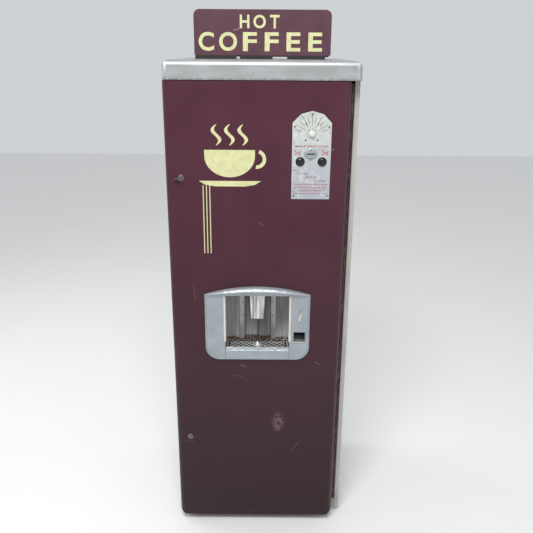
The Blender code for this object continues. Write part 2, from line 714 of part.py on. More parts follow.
def chamber_liner():
    """The stainless chamber that holds the cup, open in front and on top, with its drain pipe."""
    liner = cut(chamber_box(0, CHAMBER_TOP), chamber_box(CHAMBER_WALL, CHAMBER_TOP + 0.01))
    place = (CUP_DROP_X, DOOR_FACE + DRAIN_Y)
    liner = join(liner, cylinder(place, DRAIN_RADIUS, "z", DRAIN_Z, CHAMBER_FLOOR + 0.001, 16))
    liner = cut(liner, cylinder(place, DRAIN_RADIUS - 0.0015, "z", DRAIN_Z - 0.01, CHAMBER_FLOOR + 0.01, 16))
    name_piece(liner, "chamber_liner", "stainless", "door")


SHROUD_FRONT, SHROUD_DEPTH, SHROUD_TAPER = 0.004, 0.034, 0.008


def nozzle_shroud():
    """The open funnel that guides the drink down in front of the falling cup."""

    def level(width, inset, z, depth):
        half, front = width / 2 - inset, DOOR_FACE + SHROUD_FRONT
        low, high = front + inset, front + depth - inset
        x = CUP_DROP_X
        return [(x - half, low, z), (x + half, low, z), (x + half, high, z), (x - half, high, z)]

    wide, narrow, wall = SHROUD_TOP_WIDTH, SHROUD_BOTTOM_WIDTH, 0.0015
    low, high = SHROUD_BOTTOM, CHAMBER_TOP
    shallow = SHROUD_DEPTH - SHROUD_TAPER
    loops = [
        level(wide, 0, high, SHROUD_DEPTH), level(narrow, 0, low, shallow),
        level(narrow, wall, low, shallow), level(wide, wall, high, SHROUD_DEPTH),
    ]
    name_piece(rings(loops, closed=True), "nozzle_shroud", "cast_metal", "door")


TRAY_LEFT, TRAY_RIGHT = WINDOW_LEFT + TRAY_SIDE_PLAY, WINDOW_RIGHT - TRAY_SIDE_PLAY
TRAY_FRONT, TRAY_BACK = DOOR_FACE + 0.008, DOOR_FACE + CHAMBER_DEPTH - 0.004
TRAY_WALL = 0.0015
GRILLE_LOW = TRAY_FLOOR + TRAY_HEIGHT + GAP


def drip_tray():
    """A shallow pan that slides out forwards, with its drain hole over the chamber's."""
    z = (TRAY_FLOOR, TRAY_FLOOR + TRAY_HEIGHT)
    tray = box((TRAY_LEFT, TRAY_RIGHT), (TRAY_FRONT, TRAY_BACK), z)
    hollow = box(
        (TRAY_LEFT + TRAY_WALL, TRAY_RIGHT - TRAY_WALL),
        (TRAY_FRONT + TRAY_WALL, TRAY_BACK - TRAY_WALL),
        (z[0] + TRAY_WALL, z[1] + 0.01),
    )
    drain = cylinder((CUP_DROP_X, DOOR_FACE + DRAIN_Y), 0.006, "z", z[0] - 0.01, z[1], 12)
    name_piece(cut(tray, hollow, drain), "drip_tray", "stainless", "tray")


GRILLE_SLOTS = 14
CONE_RADIUS, CONE_HEIGHT = 0.011, 0.008


def drip_grille():
    """A slotted plate on the tray's rim, with a small raised cone in the middle."""
    z = (GRILLE_LOW, GRILLE_LOW + GRILLE_THICKNESS)
    plate = box((TRAY_LEFT, TRAY_RIGHT), (TRAY_FRONT, TRAY_BACK), z)
    centre = (CUP_DROP_X, (TRAY_FRONT + TRAY_BACK) / 2)
    pitch = (TRAY_RIGHT - TRAY_LEFT - 0.016) / GRILLE_SLOTS
    slots = []
    for number in range(GRILLE_SLOTS):
        left = TRAY_LEFT + 0.008 + pitch * (number + 0.25)
        for y in ((TRAY_FRONT + 0.008, centre[1] - 0.013), (centre[1] + 0.013, TRAY_BACK - 0.008)):
            slots.append(box((left, left + pitch / 2), y, (z[0] - 0.01, z[1] + 0.01)))
    plate = cut(plate, *slots)
    profile = [
        (0, z[0] + 0.001), (CONE_RADIUS, z[0] + 0.001), (CONE_RADIUS, z[1]), (0.003, z[1] + CONE_HEIGHT),
        (0, z[1] + CONE_HEIGHT),
    ]
    plate = join(plate, lathe(profile, centre, "z", 16))
    name_piece(plate, "drip_grille", "stainless", "grille")


def tray_apron():
    """The cast front of the tray, with a ledge that slopes back to the window."""
    bottom, top = WINDOW_BOTTOM + 0.0005, WINDOW_BOTTOM + APRON_HEIGHT
    back = TRAY_FRONT - GAP
    front = DOOR_FACE - APRON_REACH
    profile = [
        (front, bottom), (back, bottom), (back, top + LEDGE_RISE - 0.001), (back - 0.002, top + LEDGE_RISE),
        (front + 0.0015, top), (front, top - 0.0015),
    ]
    apron = prism(profile, "x", WINDOW_LEFT + 0.0008, WINDOW_RIGHT - 0.0008)
    name_piece(apron, "tray_apron", "cast_metal", "tray")


# ---------------------------------------------------------------- coin return


def coin_return_cup():
    """The pocket the coins drop into: open in front, and open on top behind the liner."""
    front, back = DOOR_FACE - 0.004, DOOR_BACK + CUP_TAIL
    cup = box((CUP_LEFT, CUP_RIGHT), (front, back), (CUP_BOTTOM, CUP_TOP))
    inner_x = (CUP_LEFT + CUP_WALL, CUP_RIGHT - CUP_WALL)
    profile = [
        (front - 0.01, CUP_BOTTOM + 0.006), (front + 0.003, CUP_BOTTOM + 0.006), (
            front + 0.006, CUP_BOTTOM + 0.003,
        ),
        (front + 0.020, CUP_BOTTOM + 0.003), (back - CUP_WALL, CUP_BOTTOM + 0.016),
        (back - CUP_WALL, CUP_TOP + 0.01), (DOOR_BACK + 0.001, CUP_TOP + 0.01),
        (DOOR_BACK + 0.001, CUP_TOP - CUP_WALL), (front - 0.01, CUP_TOP - CUP_WALL),
    ]
    name_piece(cut(cup, prism(profile, "x", *inner_x)), "coin_return_cup", "stainless", "door")


def turned(point, centre, angle):
    """A drawing point turned about a centre."""
    u, v = point[0] - centre[0], point[1] - centre[1]
    return (
        centre[0] + u * math.cos(angle) - v * math.sin(angle),
        centre[1] + u * math.sin(angle) + v * math.cos(angle),
    )


def leaf_outline(centre, length, width, tilt, steps=10):
    """Two arcs that meet in points at the top and the bottom."""
    half, bulge = length / 2, width / 2
    radius = (half * half + bulge * bulge) / (2 * bulge)
    spread = math.asin(half / radius)
    right = circle((centre[0] - radius + bulge, centre[1]), radius, steps, -spread, 2 * spread)
    left = circle((centre[0] + radius - bulge, centre[1]), radius, steps, math.pi - spread, 2 * spread)
    return [turned(point, centre, tilt) for point in right[:-1] + left[:-1]]


ROD_WIDTH = 0.004
CRANK_Y = 0.010  # door face to the crank
ROD_TOP_IN_MECH = 0.030


def coin_return_lever():
    front = DOOR_FACE - BEZEL_THICKNESS - GAP
    centre = (LEVER_X, LEVER_Z)
    leaf = prism(
        leaf_outline(centre, LEVER_LENGTH, LEVER_WIDTH, -LEVER_TILT), "y", front - 0.0055, front - 0.0012,
    )
    crank_front = DOOR_FACE + CRANK_Y
    crank = box(
        (LEVER_X - 0.004, LEVER_X + CRANK + 0.004), (crank_front, crank_front + 0.0025),
        (LEVER_Z - 0.004, LEVER_Z + 0.004),
    )
    lever = join(
        leaf,
        cylinder(centre, 0.0062, "y", front - 0.0020, front, 16),
        cylinder(centre, 0.0035, "y", front - 0.002, crank_front + 0.001, 16),
        crank,
    )
    name_piece(lever, "coin_return_lever", "chrome", "return_lever", smooth=True)


def return_link_rod():
    """The rod that the lever's crank lifts, up to the coin mechanism."""
    front = DOOR_FACE + CRANK_Y + 0.0025 + GAP
    x = LEVER_X + CRANK
    rod = box((x - ROD_WIDTH / 2, x + ROD_WIDTH / 2), (front, front + ROD_WIDTH),
              (LEVER_Z - 0.006, MECH_BOTTOM + ROD_TOP_IN_MECH))
    finger_z = MECH_BOTTOM + ROD_TOP_IN_MECH - 0.010
    finger = box(
        (x - ROD_WIDTH / 2, x + ROD_WIDTH / 2), (front + 0.001, DOOR_BACK - 0.001),
        (finger_z, finger_z + ROD_WIDTH),
    )
    name_piece(join(rod, finger), "return_link_rod", "zinc", "return_rod")


def coin_mechanism():
    """The coin acceptor behind the door, with the chute that leads down to it from the slot."""
    front, top = DOOR_BACK + GAP, MECH_TOP
    body = box((MECH_LEFT, MECH_RIGHT), (front, front + MECH_DEPTH), (MECH_BOTTOM, top))
    mouth = DOOR_FACE + 0.0065
    wall, throat = 0.0012, front + 0.032
    outer = [
        (mouth, SLOT_Z + 0.0065), (mouth, SLOT_Z - 0.0065), (front + 0.016, top - 0.002),
        (throat, top - 0.002), (throat, top + 0.014),
    ]
    inner = [
        (mouth - 0.01, SLOT_Z + 0.0053), (mouth - 0.01, SLOT_Z - 0.0040), (front + 0.0185, top),
        (front + 0.0185, MECH_BOTTOM - 0.01), (throat - wall, MECH_BOTTOM - 0.01), (
            throat - wall, top + 0.0125,
        ),
    ]
    body = join(body, prism(outer, "x", COIN_LEFT, COIN_RIGHT))
    body = cut(body, prism(inner, "x", COIN_LEFT + wall, COIN_RIGHT - wall))
    name_piece(body, "coin_mechanism", "zinc", "door")


HEADER_HEIGHT = 0.034


def coin_chutes():
    """The divider under the mechanism: one leg to the return cup and one to the cash box."""
    wall, front = 0.0012, DOOR_BACK + GAP
    top = MECH_BOTTOM - GAP
    low = top - HEADER_HEIGHT
    header_back = front + 0.036
    depth = (front, front + CHUTE_DEPTH - 0.006)
    ends = {RETURN_LEFT: CUP_TOP + GAP, CASH_LEFT: CASH_BOX_Z + CASH_BOX_HEIGHT + 0.068}
    legs = ((RETURN_LEFT, RETURN_RIGHT), (CASH_LEFT, CASH_RIGHT))
    x = (RETURN_LEFT, CASH_RIGHT)
    outer = [box(leg, depth, (ends[leg[0]], low + 0.005)) for leg in legs]
    chutes = join(box(x, (front, header_back), (low, top)), *outer)
    inner = [
        box(
            (leg[0] + wall, leg[1] - wall), (depth[0] + wall, depth[1] - wall),
            (ends[leg[0]] - 0.01, low + 0.01),
        )
        for leg in legs
    ]
    hollow = box((x[0] + wall, x[1] - wall), (front + wall, header_back - wall), (low + wall, top + 0.01))
    name_piece(cut(chutes, hollow, *inner), "coin_chutes", "zinc", "door")


def cash_box():
    """An open steel box that stands on its bracket, and a grip on its front edge."""
    x, y = (BOX_LEFT, BOX_LEFT + CASH_BOX_WIDTH), (BOX_FRONT, BOX_FRONT + CASH_BOX_DEPTH)
    z = (CASH_BOX_Z, CASH_BOX_Z + CASH_BOX_HEIGHT)
    solid = box(x, y, z)
    hollow = box((x[0] + SHEET, x[1] - SHEET), (y[0] + SHEET, y[1] - SHEET), (z[0] + SHEET, z[1] + 0.01))
    name_piece(cut(solid, hollow), "cash_box", "zinc", "cash_box")


# ---------------------------------------------------------------- selector and buttons


def plate_outline():
    """A square-shouldered plate under a fan of flat facets."""
    left, right = PLATE_X - PLATE_WIDTH / 2, PLATE_X + PLATE_WIDTH / 2
    bottom, shoulder = PIVOT_Z - PLATE_BELOW_PIVOT, PIVOT_Z + SHOULDER_ABOVE_PIVOT
    fan = circle((PLATE_X, PIVOT_Z), FAN_RADIUS, 2, math.radians(60), math.radians(60))
    return [(left, bottom), (right, bottom), (right, shoulder)] + fan + [(left, shoulder)]


SLEEVE_HEIGHT = 0.0046  # of the coin entry's sleeve, which lines the slot through the plate and the door


def selector_plate():
    plate = prism(plate_outline(), "y", PLATE_FRONT, DOOR_FACE - GAP)
    low, high = PLATE_FRONT - 0.01, DOOR_FACE + 0.01
    slot = box((PLATE_X - 0.0153, PLATE_X + 0.0153), (low, high), (SLOT_Z - 0.0030, SLOT_Z + 0.0030))
    holes = [cylinder((x, BUTTON_Z), BUTTON_RADIUS + 0.0006, "y", low, high) for x in BUTTONS_X]
    plate = cut(plate, slot, cylinder((PLATE_X, PIVOT_Z), 0.0050, "y", low, high, 16), *holes)
    name_piece(plate, "selector_plate", "plate_enamel", "door")


POINTER_LENGTH, HUB_RADIUS = 0.026, 0.0095
SWITCH_SIZE, SWITCH_DEPTH = 0.046, 0.022


def selector_pointer():
    """The knob with its pointer, and the shaft that turns the switch behind the door."""
    centre, face = (PLATE_X, PIVOT_Z), PLATE_FRONT - GAP
    needle = [
        (PLATE_X - 0.0065, PIVOT_Z), (PLATE_X + 0.0065, PIVOT_Z),
        (PLATE_X + 0.0015, PIVOT_Z + POINTER_LENGTH), (PLATE_X - 0.0015, PIVOT_Z + POINTER_LENGTH),
    ]
    knob = lathe(
        [(0, face), (HUB_RADIUS, face), (HUB_RADIUS, face - 0.007), (0.007, face - 0.0095), (0, face - 0.0095)],
        centre, "y",
    )
    shaft = cylinder(centre, 0.0030, "y", face - 0.002, DOOR_FACE + 0.028, 16)
    pointer = join(knob, prism(needle, "y", face - 0.0035, face), shaft)
    name_piece(pointer, "selector_pointer", "ivory_plastic", "selector", smooth=True)


def selector_switch():
    half, front = SWITCH_SIZE / 2, DOOR_FACE + SHEET + GAP
    body = box(
        (PLATE_X - half, PLATE_X + half), (front, front + SWITCH_DEPTH), (PIVOT_Z - half, PIVOT_Z + half),
    )
    bore = cylinder((PLATE_X, PIVOT_Z), 0.0036, "y", front - 0.01, front + SWITCH_DEPTH + 0.01, 16)
    name_piece(cut(body, bore), "selector_switch", "black_plastic", "door")


ENTRY_HEIGHT, ENTRY_WIDTH = 0.041, 0.0435


def coin_entry():
    """A cast escutcheon with a sleeve that lines the slot."""
    face = PLATE_FRONT - GAP
    outline = leaf_outline((PLATE_X - 0.002, SLOT_Z), 0.052, ENTRY_HEIGHT, math.pi / 2, 8)
    limit = box(
        (PLATE_X - 0.002 - ENTRY_WIDTH / 2, PLATE_X - 0.002 + ENTRY_WIDTH / 2), (face - 0.01, face + 0.01),
        (SLOT_Z - 0.05, SLOT_Z + 0.05),
    )
    entry = shared(prism(outline, "y", face - 0.0038, face), limit)
    half, tall = SLOT_WIDTH / 2, SLEEVE_HEIGHT / 2
    entry = join(
        entry,
        box(
            (PLATE_X - half - 0.0015, PLATE_X + half + 0.0015), (face - 0.001, DOOR_FACE + 0.004),
            (SLOT_Z - tall, SLOT_Z + tall),
        ),
    )
    slot = box(
        (PLATE_X - half, PLATE_X + half), (face - 0.02, DOOR_FACE + 0.02),
        (SLOT_Z - SLOT_HEIGHT / 2, SLOT_Z + SLOT_HEIGHT / 2),
    )
    name_piece(cut(entry, slot), "coin_entry", "cast_metal", "door")


BUTTON_PROUD, BUTTON_REAR = 0.0095, 0.009
STEM_RADIUS, STEM_TIP = 0.004, 0.026


def push_buttons():
    """Two domed caps on stems, sprung forwards."""
    for side, x in zip(("left", "right"), BUTTONS_X):
        front, r = PLATE_FRONT - BUTTON_PROUD, BUTTON_RADIUS
        rear = DOOR_FACE + BUTTON_REAR
        profile = [
            (0, front), (r * 0.45, front + 0.0006), (r * 0.80, front + 0.0024), (r, front + 0.0052), (r, rear),
            (STEM_RADIUS, rear), (STEM_RADIUS, DOOR_FACE + STEM_TIP), (0, DOOR_FACE + STEM_TIP),
        ]
        button = lathe(profile, (x, BUTTON_Z), "y")
        name_piece(button, f"push_button_{side}", "black_gloss", f"button_{side}", smooth=True)


SLEEVE_DEPTH = 0.0205


def button_bracket():
    """The plate behind the door with a closed guide sleeve round each button."""
    front = DOOR_FACE + SHEET + GAP
    deep = DOOR_FACE + SLEEVE_DEPTH
    bracket = box(
        (BUTTONS_X[0] - 0.017, BUTTONS_X[1] + 0.017), (front, front + SHEET),
        (BUTTON_Z - 0.018, BUTTON_Z + 0.0175),
    )
    sleeves = [cylinder((x, BUTTON_Z), BUTTON_RADIUS + 0.0028, "y", front + 0.0005, deep) for x in BUTTONS_X]
    bores = [
        cylinder((x, BUTTON_Z), BUTTON_RADIUS + 0.0008, "y", front - 0.01, deep - SHEET) for x in BUTTONS_X
    ]
    bores += [cylinder((x, BUTTON_Z), STEM_RADIUS + 0.0008, "y", front, deep + 0.01, 16) for x in BUTTONS_X]
    name_piece(cut(join(bracket, *sleeves), *bores), "button_bracket", "zinc", "door", smooth=True)


# ---------------------------------------------------------------- inside the cabinet

SHELF_FRONT, SHELF_REAR = CABINET_FRONT + 0.125, CABINET_BACK - 0.020
SPINDLE_RADIUS = 0.0075
TUBE_FLOOR = 0.0185  # shelf to the lower end of the cup tubes
DROP_PLACE = (TURRET_X, TURRET_Y - TUBE_PITCH_RADIUS)


def upper_shelf():
    """The shelf that carries the cup turret and the tank, with the spindle the turret turns on."""
    x = (-INSIDE, INSIDE)
    shelf = box(x, (SHELF_FRONT, SHELF_REAR), (SHELF_TOP - SHEET, SHELF_TOP))
    spindle = cylinder(
        (TURRET_X, TURRET_Y), SPINDLE_RADIUS, "z", SHELF_TOP - 0.001, SHELF_TOP + TUBE_FLOOR + TUBE_HEIGHT,
    )
    edge = box(x, (SHELF_FRONT, SHELF_FRONT + SHEET), (SHELF_TOP - 0.020, SHELF_TOP - 0.001))
    shelf = join(shelf, spindle, edge)
    low, high = SHELF_TOP - 0.01, SHELF_TOP + 0.01
    shelf = cut(
        shelf,
        cylinder(DROP_PLACE, TUBE_RADIUS + 0.006, "z", low, high, 32),
        cylinder((TURRET_X, PINION_Y), 0.006, "z", low, high, 16),
    )
    name_piece(shelf, "upper_shelf", "zinc")


def gear_outline(centre, teeth, phase):
    """Straight-flanked teeth with backlash. The phase puts a tooth's middle at that angle."""
    pitch_radius = GEAR_MODULE * teeth / 2
    root, tip = pitch_radius - 1.15 * GEAR_MODULE, pitch_radius + 0.85 * GEAR_MODULE
    step = 2 * math.pi / teeth
    points = []
    for tooth in range(teeth):
        middle = phase + tooth * step
        for radius, share in ((root, -0.27), (tip, -0.11), (tip, 0.11), (root, 0.27)):
            points.append((centre[0] + radius * math.cos(middle + share * step),
                           centre[1] + radius * math.sin(middle + share * step)))
    return points


GEAR_Z = (SHELF_TOP + 0.005, SHELF_TOP + 0.013)


def tube_places():
    for number in range(TUBES):
        angle = -math.pi / 2 + 2 * math.pi * number / TUBES
        yield (TURRET_X + TUBE_PITCH_RADIUS * math.cos(angle), TURRET_Y + TUBE_PITCH_RADIUS * math.sin(angle))


def cup_turret():
    """Five cup tubes held between two plates, with the gear that turns them."""
    centre = (TURRET_X, TURRET_Y)
    low = SHELF_TOP + TUBE_FLOOR
    high = low + TUBE_HEIGHT
    between_teeth = math.pi / 2 + math.pi / GEAR_TEETH
    turret = join(
        prism(gear_outline(centre, GEAR_TEETH, between_teeth), "z", *GEAR_Z),
        cylinder(centre, 0.013, "z", GEAR_Z[0], high - 0.010, 16),
        cylinder(centre, TUBE_PITCH_RADIUS + 0.020, "z", low, low + 0.003, 32),
        cylinder(centre, TUBE_PITCH_RADIUS + 0.010, "z", high - 0.030, high - 0.027, 32),
    )
    turret = join(turret, *[cylinder(place, TUBE_RADIUS, "z", low, high, 16) for place in tube_places()])
    bores = [
        cylinder(place, TUBE_RADIUS - TUBE_WALL, "z", low - 0.01, high + 0.01, 16) for place in tube_places()
    ]
    bores.append(cylinder(centre, SPINDLE_RADIUS + 0.0006, "z", GEAR_Z[0] - 0.01, high + 0.02))
    name_piece(cut(turret, *bores), "cup_turret", "stainless", "turret", smooth=True)


MOTOR_RADIUS, MOTOR_HEIGHT = 0.028, 0.060


def turret_drive():
    """The gear motor under the shelf, and the pinion on its shaft."""
    centre = (TURRET_X, PINION_Y)
    pinion = prism(gear_outline(centre, PINION_TEETH, -math.pi / 2), "z", *GEAR_Z)
    top = SHELF_TOP - SHEET - GAP
    pinion = join(pinion, cylinder(centre, 0.003, "z", top - 0.015, GEAR_Z[1], 12))
    name_piece(pinion, "turret_pinion", "brass", "pinion")
    motor = cylinder(centre, MOTOR_RADIUS, "z", top - MOTOR_HEIGHT, top)
    motor = cut(motor, cylinder(centre, 0.0036, "z", top - 0.016, top + 0.01, 12))
    name_piece(motor, "turret_motor", "dark_steel", smooth=True)


CHUTE_END = CHAMBER_TOP + 0.028
CHUTE_BEND = CHUTE_END + 0.030  # upright below it, slanted above
CHUTE_LANDING = (CUP_DROP_X, CUP_DROP_Y + 0.006)


def cup_chute():
    """The slanted tube a cup falls through, from under the turret to the top of the chamber."""
    top = SHELF_TOP - SHEET - GAP
    flange = 0.004
    inner = CHUTE_RADIUS - 0.0015

    def ring(place, radius, z):
        return [(x, y, z) for x, y in circle(place, radius, 24)]

    loops = [
        ring(DROP_PLACE, CHUTE_RADIUS + 0.008, top), ring(DROP_PLACE, CHUTE_RADIUS + 0.008, top - 0.002),
        ring(DROP_PLACE, CHUTE_RADIUS, top - 0.002), ring(DROP_PLACE, CHUTE_RADIUS, top - flange),
        ring(CHUTE_LANDING, CHUTE_RADIUS, CHUTE_BEND), ring(CHUTE_LANDING, CHUTE_RADIUS, CHUTE_END),
        ring(CHUTE_LANDING, inner, CHUTE_END), ring(CHUTE_LANDING, inner, CHUTE_BEND),
        ring(DROP_PLACE, inner, top - flange), ring(DROP_PLACE, inner, top),
    ]
    name_piece(rings(loops, closed=True), "cup_chute", "stainless", smooth=True)


def water_tank():
    low, wall = SHELF_TOP + GAP, SHEET
    top = low + TANK_HEIGHT
    shoulder, neck = top - 0.030, 0.022
    r = TANK_RADIUS
    profile = [
        (0, low), (r, low), (r, shoulder), (neck, top - 0.012), (neck, top),
        (neck - wall, top), (neck - wall, top - 0.014), (r - wall, shoulder - 0.001), (r - wall, low + wall), (
            0, low + wall,
        ),
    ]
    name_piece(lathe(profile, (TANK_X, TANK_Y), "z", 32), "water_tank", "stainless", smooth=True)


AUGER_MOTOR_RADIUS, AUGER_MOTOR_LENGTH = 0.020, 0.045
AUGER_SHAFT_RADIUS = 0.003


def canister_x(name):
    return CANISTER_FIRST_X + CANISTERS[name] * CANISTER_PITCH


def canister_shelf():
    """The shelf under the powder canisters, with an upright that carries their three motors."""
    back = CANISTER_FRONT + CANISTER_DEPTH
    shelf = box(
        (-INSIDE, INSIDE), (CANISTER_FRONT + 0.010, back + 0.070),
        (CANISTER_SHELF_TOP - SHEET, CANISTER_SHELF_TOP),
    )
    face = back + 0.006
    left, right = canister_x("coffee") - CANISTER_WIDTH / 2, canister_x("sugar") + CANISTER_WIDTH / 2
    upright = box((left, right), (face, face + SHEET), (CANISTER_SHELF_TOP - 0.001, CANISTER_SHELF_TOP + 0.070))
    centres = [(canister_x(name), AUGER_Z) for name in CANISTERS]
    motors = [
        cylinder((x, z + 0.004), AUGER_MOTOR_RADIUS, "y", face + 0.001, face + AUGER_MOTOR_LENGTH)
        for x, z in centres
    ]
    bores = [
        cylinder(place, AUGER_SHAFT_RADIUS + 0.0008, "y", face - 0.01, face + 0.012, 12) for place in centres
    ]
    name_piece(cut(join(shelf, upright, *motors), *bores), "canister_shelf", "zinc", smooth=True)


def trough_outline(x, radius, half_width, top):
    """A straight-sided bin that narrows to a round trough under its middle."""
    bend = AUGER_Z + 0.045
    arc = circle((x, AUGER_Z), radius, 8, math.pi, math.pi)
    return [(x - half_width, top), (x - half_width, bend)] + arc + [
        (x + half_width, bend), (x + half_width, top),
    ]


CANISTER_WALL = 0.0025
NOZZLE_WALL = 0.002


def canister(name):
    """A powder bin with an auger trough and a nozzle that empties downwards in front."""
    x, top = canister_x(name), CANISTER_SHELF_TOP + GAP + CANISTER_HEIGHT
    half, front, back = CANISTER_WIDTH / 2, CANISTER_FRONT, CANISTER_FRONT + CANISTER_DEPTH
    outer = prism(trough_outline(x, TROUGH_RADIUS + CANISTER_WALL, half, top), "y", front, back)
    bar = box((x - half, x + half), (back - 0.020, back), (CANISTER_SHELF_TOP + GAP, AUGER_Z + 0.030))
    nozzle = cylinder((x, AUGER_Z), TROUGH_RADIUS + NOZZLE_WALL, "y", front - NOZZLE_LENGTH, front + 0.004, 16)
    body = join(outer, bar, nozzle)
    hollow = prism(
        trough_outline(x, TROUGH_RADIUS, half - CANISTER_WALL, top + 0.01), "y", front + CANISTER_WALL,
        back - CANISTER_WALL,
    )
    bore = cylinder(
        (x, AUGER_Z), TROUGH_RADIUS - 0.0008, "y", front - NOZZLE_LENGTH + NOZZLE_WALL, back - 0.030, 16,
    )
    spill = box(
        (x - 0.008, x + 0.008), (front - NOZZLE_LENGTH + 0.004, front - 0.016), (AUGER_Z - 0.03, AUGER_Z),
    )
    shaft_hole = cylinder((x, AUGER_Z), AUGER_SHAFT_RADIUS + 0.0008, "y", back - 0.01, back + 0.01, 12)
    name_piece(cut(body, hollow, bore, spill, shaft_hole), f"canister_{name}", "clear_plastic", smooth=True)


AUGER_TURNS, AUGER_STEPS = 4, 8


def auger(name):
    """A shaft with a helical flight, turned by its motor through the canister's back."""
    x, front = canister_x(name), CANISTER_FRONT - NOZZLE_LENGTH + 0.006
    back = CANISTER_FRONT + CANISTER_DEPTH - 0.008
    thickness, core, length = 0.002, 0.002, back - front - 0.004
    loops = []
    for i in range(AUGER_TURNS * AUGER_STEPS + 1):
        angle = 2 * math.pi * i / AUGER_STEPS
        y = front + (length - thickness) * i / (AUGER_TURNS * AUGER_STEPS)
        section = [(core, y), (AUGER_RADIUS, y), (AUGER_RADIUS, y + thickness), (core, y + thickness)]
        loops.append([(x + r * math.cos(angle), h, AUGER_Z + r * math.sin(angle)) for r, h in section])
    motor_end = CANISTER_FRONT + CANISTER_DEPTH + 0.014
    shaft = cylinder((x, AUGER_Z), AUGER_SHAFT_RADIUS, "y", front - 0.001, motor_end, 12)
    name_piece(join(shaft, rings(loops)), f"auger_{name}", "ivory_plastic", f"auger_{name}")


def canister_lid():
    """One cover over the three canisters, which lifts off to fill them."""
    left, right = canister_x("coffee") - CANISTER_WIDTH / 2, canister_x("sugar") + CANISTER_WIDTH / 2
    x, y = (left - 0.0035, right + 0.0035), (CANISTER_FRONT - 0.003, CANISTER_FRONT + CANISTER_DEPTH + 0.003)
    low = CANISTER_SHELF_TOP + CANISTER_HEIGHT + 2 * GAP
    lid = box(x, y, (low - 0.006, low + 0.002))
    hollow = box((x[0] + 0.002, x[1] - 0.002), (y[0] + 0.002, y[1] - 0.002), (low - 0.02, low))
    name_piece(cut(lid, hollow), "canister_lid", "ivory_plastic", "canister_lid")


BOWL_TOP = AUGER_Z - TROUGH_RADIUS - NOZZLE_WALL - 0.004
WHIP_PLACE = (0.060, CANISTER_FRONT - 0.032)
WHIP_RADIUS, WHIP_HEIGHT = 0.024, 0.032
BOWL_DEPTH = 0.036
WHIP_BOTTOM = BOWL_TOP - BOWL_DEPTH - WHIP_HEIGHT
SPOUT_RADIUS = 0.006
SPOUT_Z = WHIP_BOTTOM + 0.009
SPOUT_DROP = 0.024  # behind the door's face


def mixing_bowl():
    """A wide hopper under the three nozzles, the whipping chamber under it, and the spout to the cup."""
    rim_left, rim_right = canister_x("coffee") - 0.030, canister_x("sugar") + 0.030
    front, back = CANISTER_FRONT - NOZZLE_LENGTH - 0.006, CANISTER_FRONT - 0.004
    wall = 0.002
    waist, low = BOWL_TOP - BOWL_DEPTH, WHIP_BOTTOM

    def level(inset, z, wide):
        if wide:
            low_x, high_x, low_y, high_y = rim_left, rim_right, front, back
        else:
            low_x, high_x = WHIP_PLACE[0] - 0.018, WHIP_PLACE[0] + 0.018
            low_y, high_y = WHIP_PLACE[1] - 0.016, WHIP_PLACE[1] + 0.016
        return [
            (low_x + inset, low_y + inset, z), (high_x - inset, low_y + inset, z),
            (high_x - inset, high_y - inset, z), (low_x + inset, high_y - inset, z),
        ]

    hopper = rings([
        level(0, BOWL_TOP, True), level(0, BOWL_TOP - 0.006, True), level(0, waist, False), level(
            0, waist - 0.004, False,
        ),
    ])
    hollow = rings([
        level(wall, BOWL_TOP + 0.01, True), level(wall, BOWL_TOP - 0.006, True), level(wall, waist, False),
        level(wall, waist - 0.008, False),
    ])
    chamber = cylinder(WHIP_PLACE, WHIP_RADIUS, "z", low, waist)
    spout_z, end_z = SPOUT_Z, CHAMBER_TOP + 0.010
    run_x, drop_y = WHIP_PLACE[0] - 0.004, DOOR_FACE + SPOUT_DROP
    path = [
        (run_x, WHIP_PLACE[1] - WHIP_RADIUS + 0.006, spout_z), (run_x, drop_y + 0.012, spout_z - 0.004),
        (run_x - 0.012, drop_y, spout_z - 0.005), (CUP_DROP_X + 0.010, drop_y, spout_z - 0.006),
        (CUP_DROP_X, drop_y, spout_z - 0.012), (CUP_DROP_X, drop_y, end_z),
    ]
    bowl = join(hopper, chamber, pipe(path, SPOUT_RADIUS, SPOUT_RADIUS - 0.0015, 12))
    inside = cylinder(WHIP_PLACE, WHIP_RADIUS - wall, "z", low + wall, waist - wall)
    mouth = cylinder(
        (run_x, spout_z - 0.001), SPOUT_RADIUS - 0.002, "y", WHIP_PLACE[1] - WHIP_RADIUS - 0.006, WHIP_PLACE[1],
        12,
    )
    shaft_hole = cylinder(WHIP_PLACE, 0.0038, "z", low - 0.01, low + 0.01, 12)
    bowl = cut(bowl, hollow, inside, mouth, shaft_hole)
    name_piece(bowl, "mixing_bowl", "ivory_plastic", smooth=True)


def whipper():
    """The impeller in the whipping chamber, and its motor below."""
    low = WHIP_BOTTOM
    blade_low, blade_high = low + 0.006, low + 0.014
    hub = cylinder(WHIP_PLACE, 0.0045, "z", blade_low, blade_high, 12)
    blades = []
    for number in range(4):
        blade = box((0.002, 0.0155), (-0.001, 0.001), (blade_low, blade_high))
        blade.data.transform(Matrix.Rotation(math.pi / 2 * number, 4, "Z"))
        blade.data.transform(Matrix.Translation((*WHIP_PLACE, 0)))
        blades.append(blade)
    shaft = cylinder(WHIP_PLACE, 0.003, "z", low - 0.014, blade_high - 0.001, 12)
    name_piece(join(hub, shaft, *blades), "whipper_impeller", "ivory_plastic", "whipper")
    top = low - GAP
    motor = cylinder(WHIP_PLACE, 0.022, "z", top - 0.045, top)
    motor = cut(motor, cylinder(WHIP_PLACE, 0.0038, "z", top - 0.016, top + 0.01, 12))
    name_piece(motor, "whipper_motor", "dark_steel", smooth=True)


BUCKET_WALL = 0.002
EAR_DROP = 0.018  # bucket's rim to its handle's pivots
WIRE_RADIUS = 0.0025
BAIL_STEPS = 20
BUCKET_LOW = FOOT_HEIGHT + SHEET + GAP


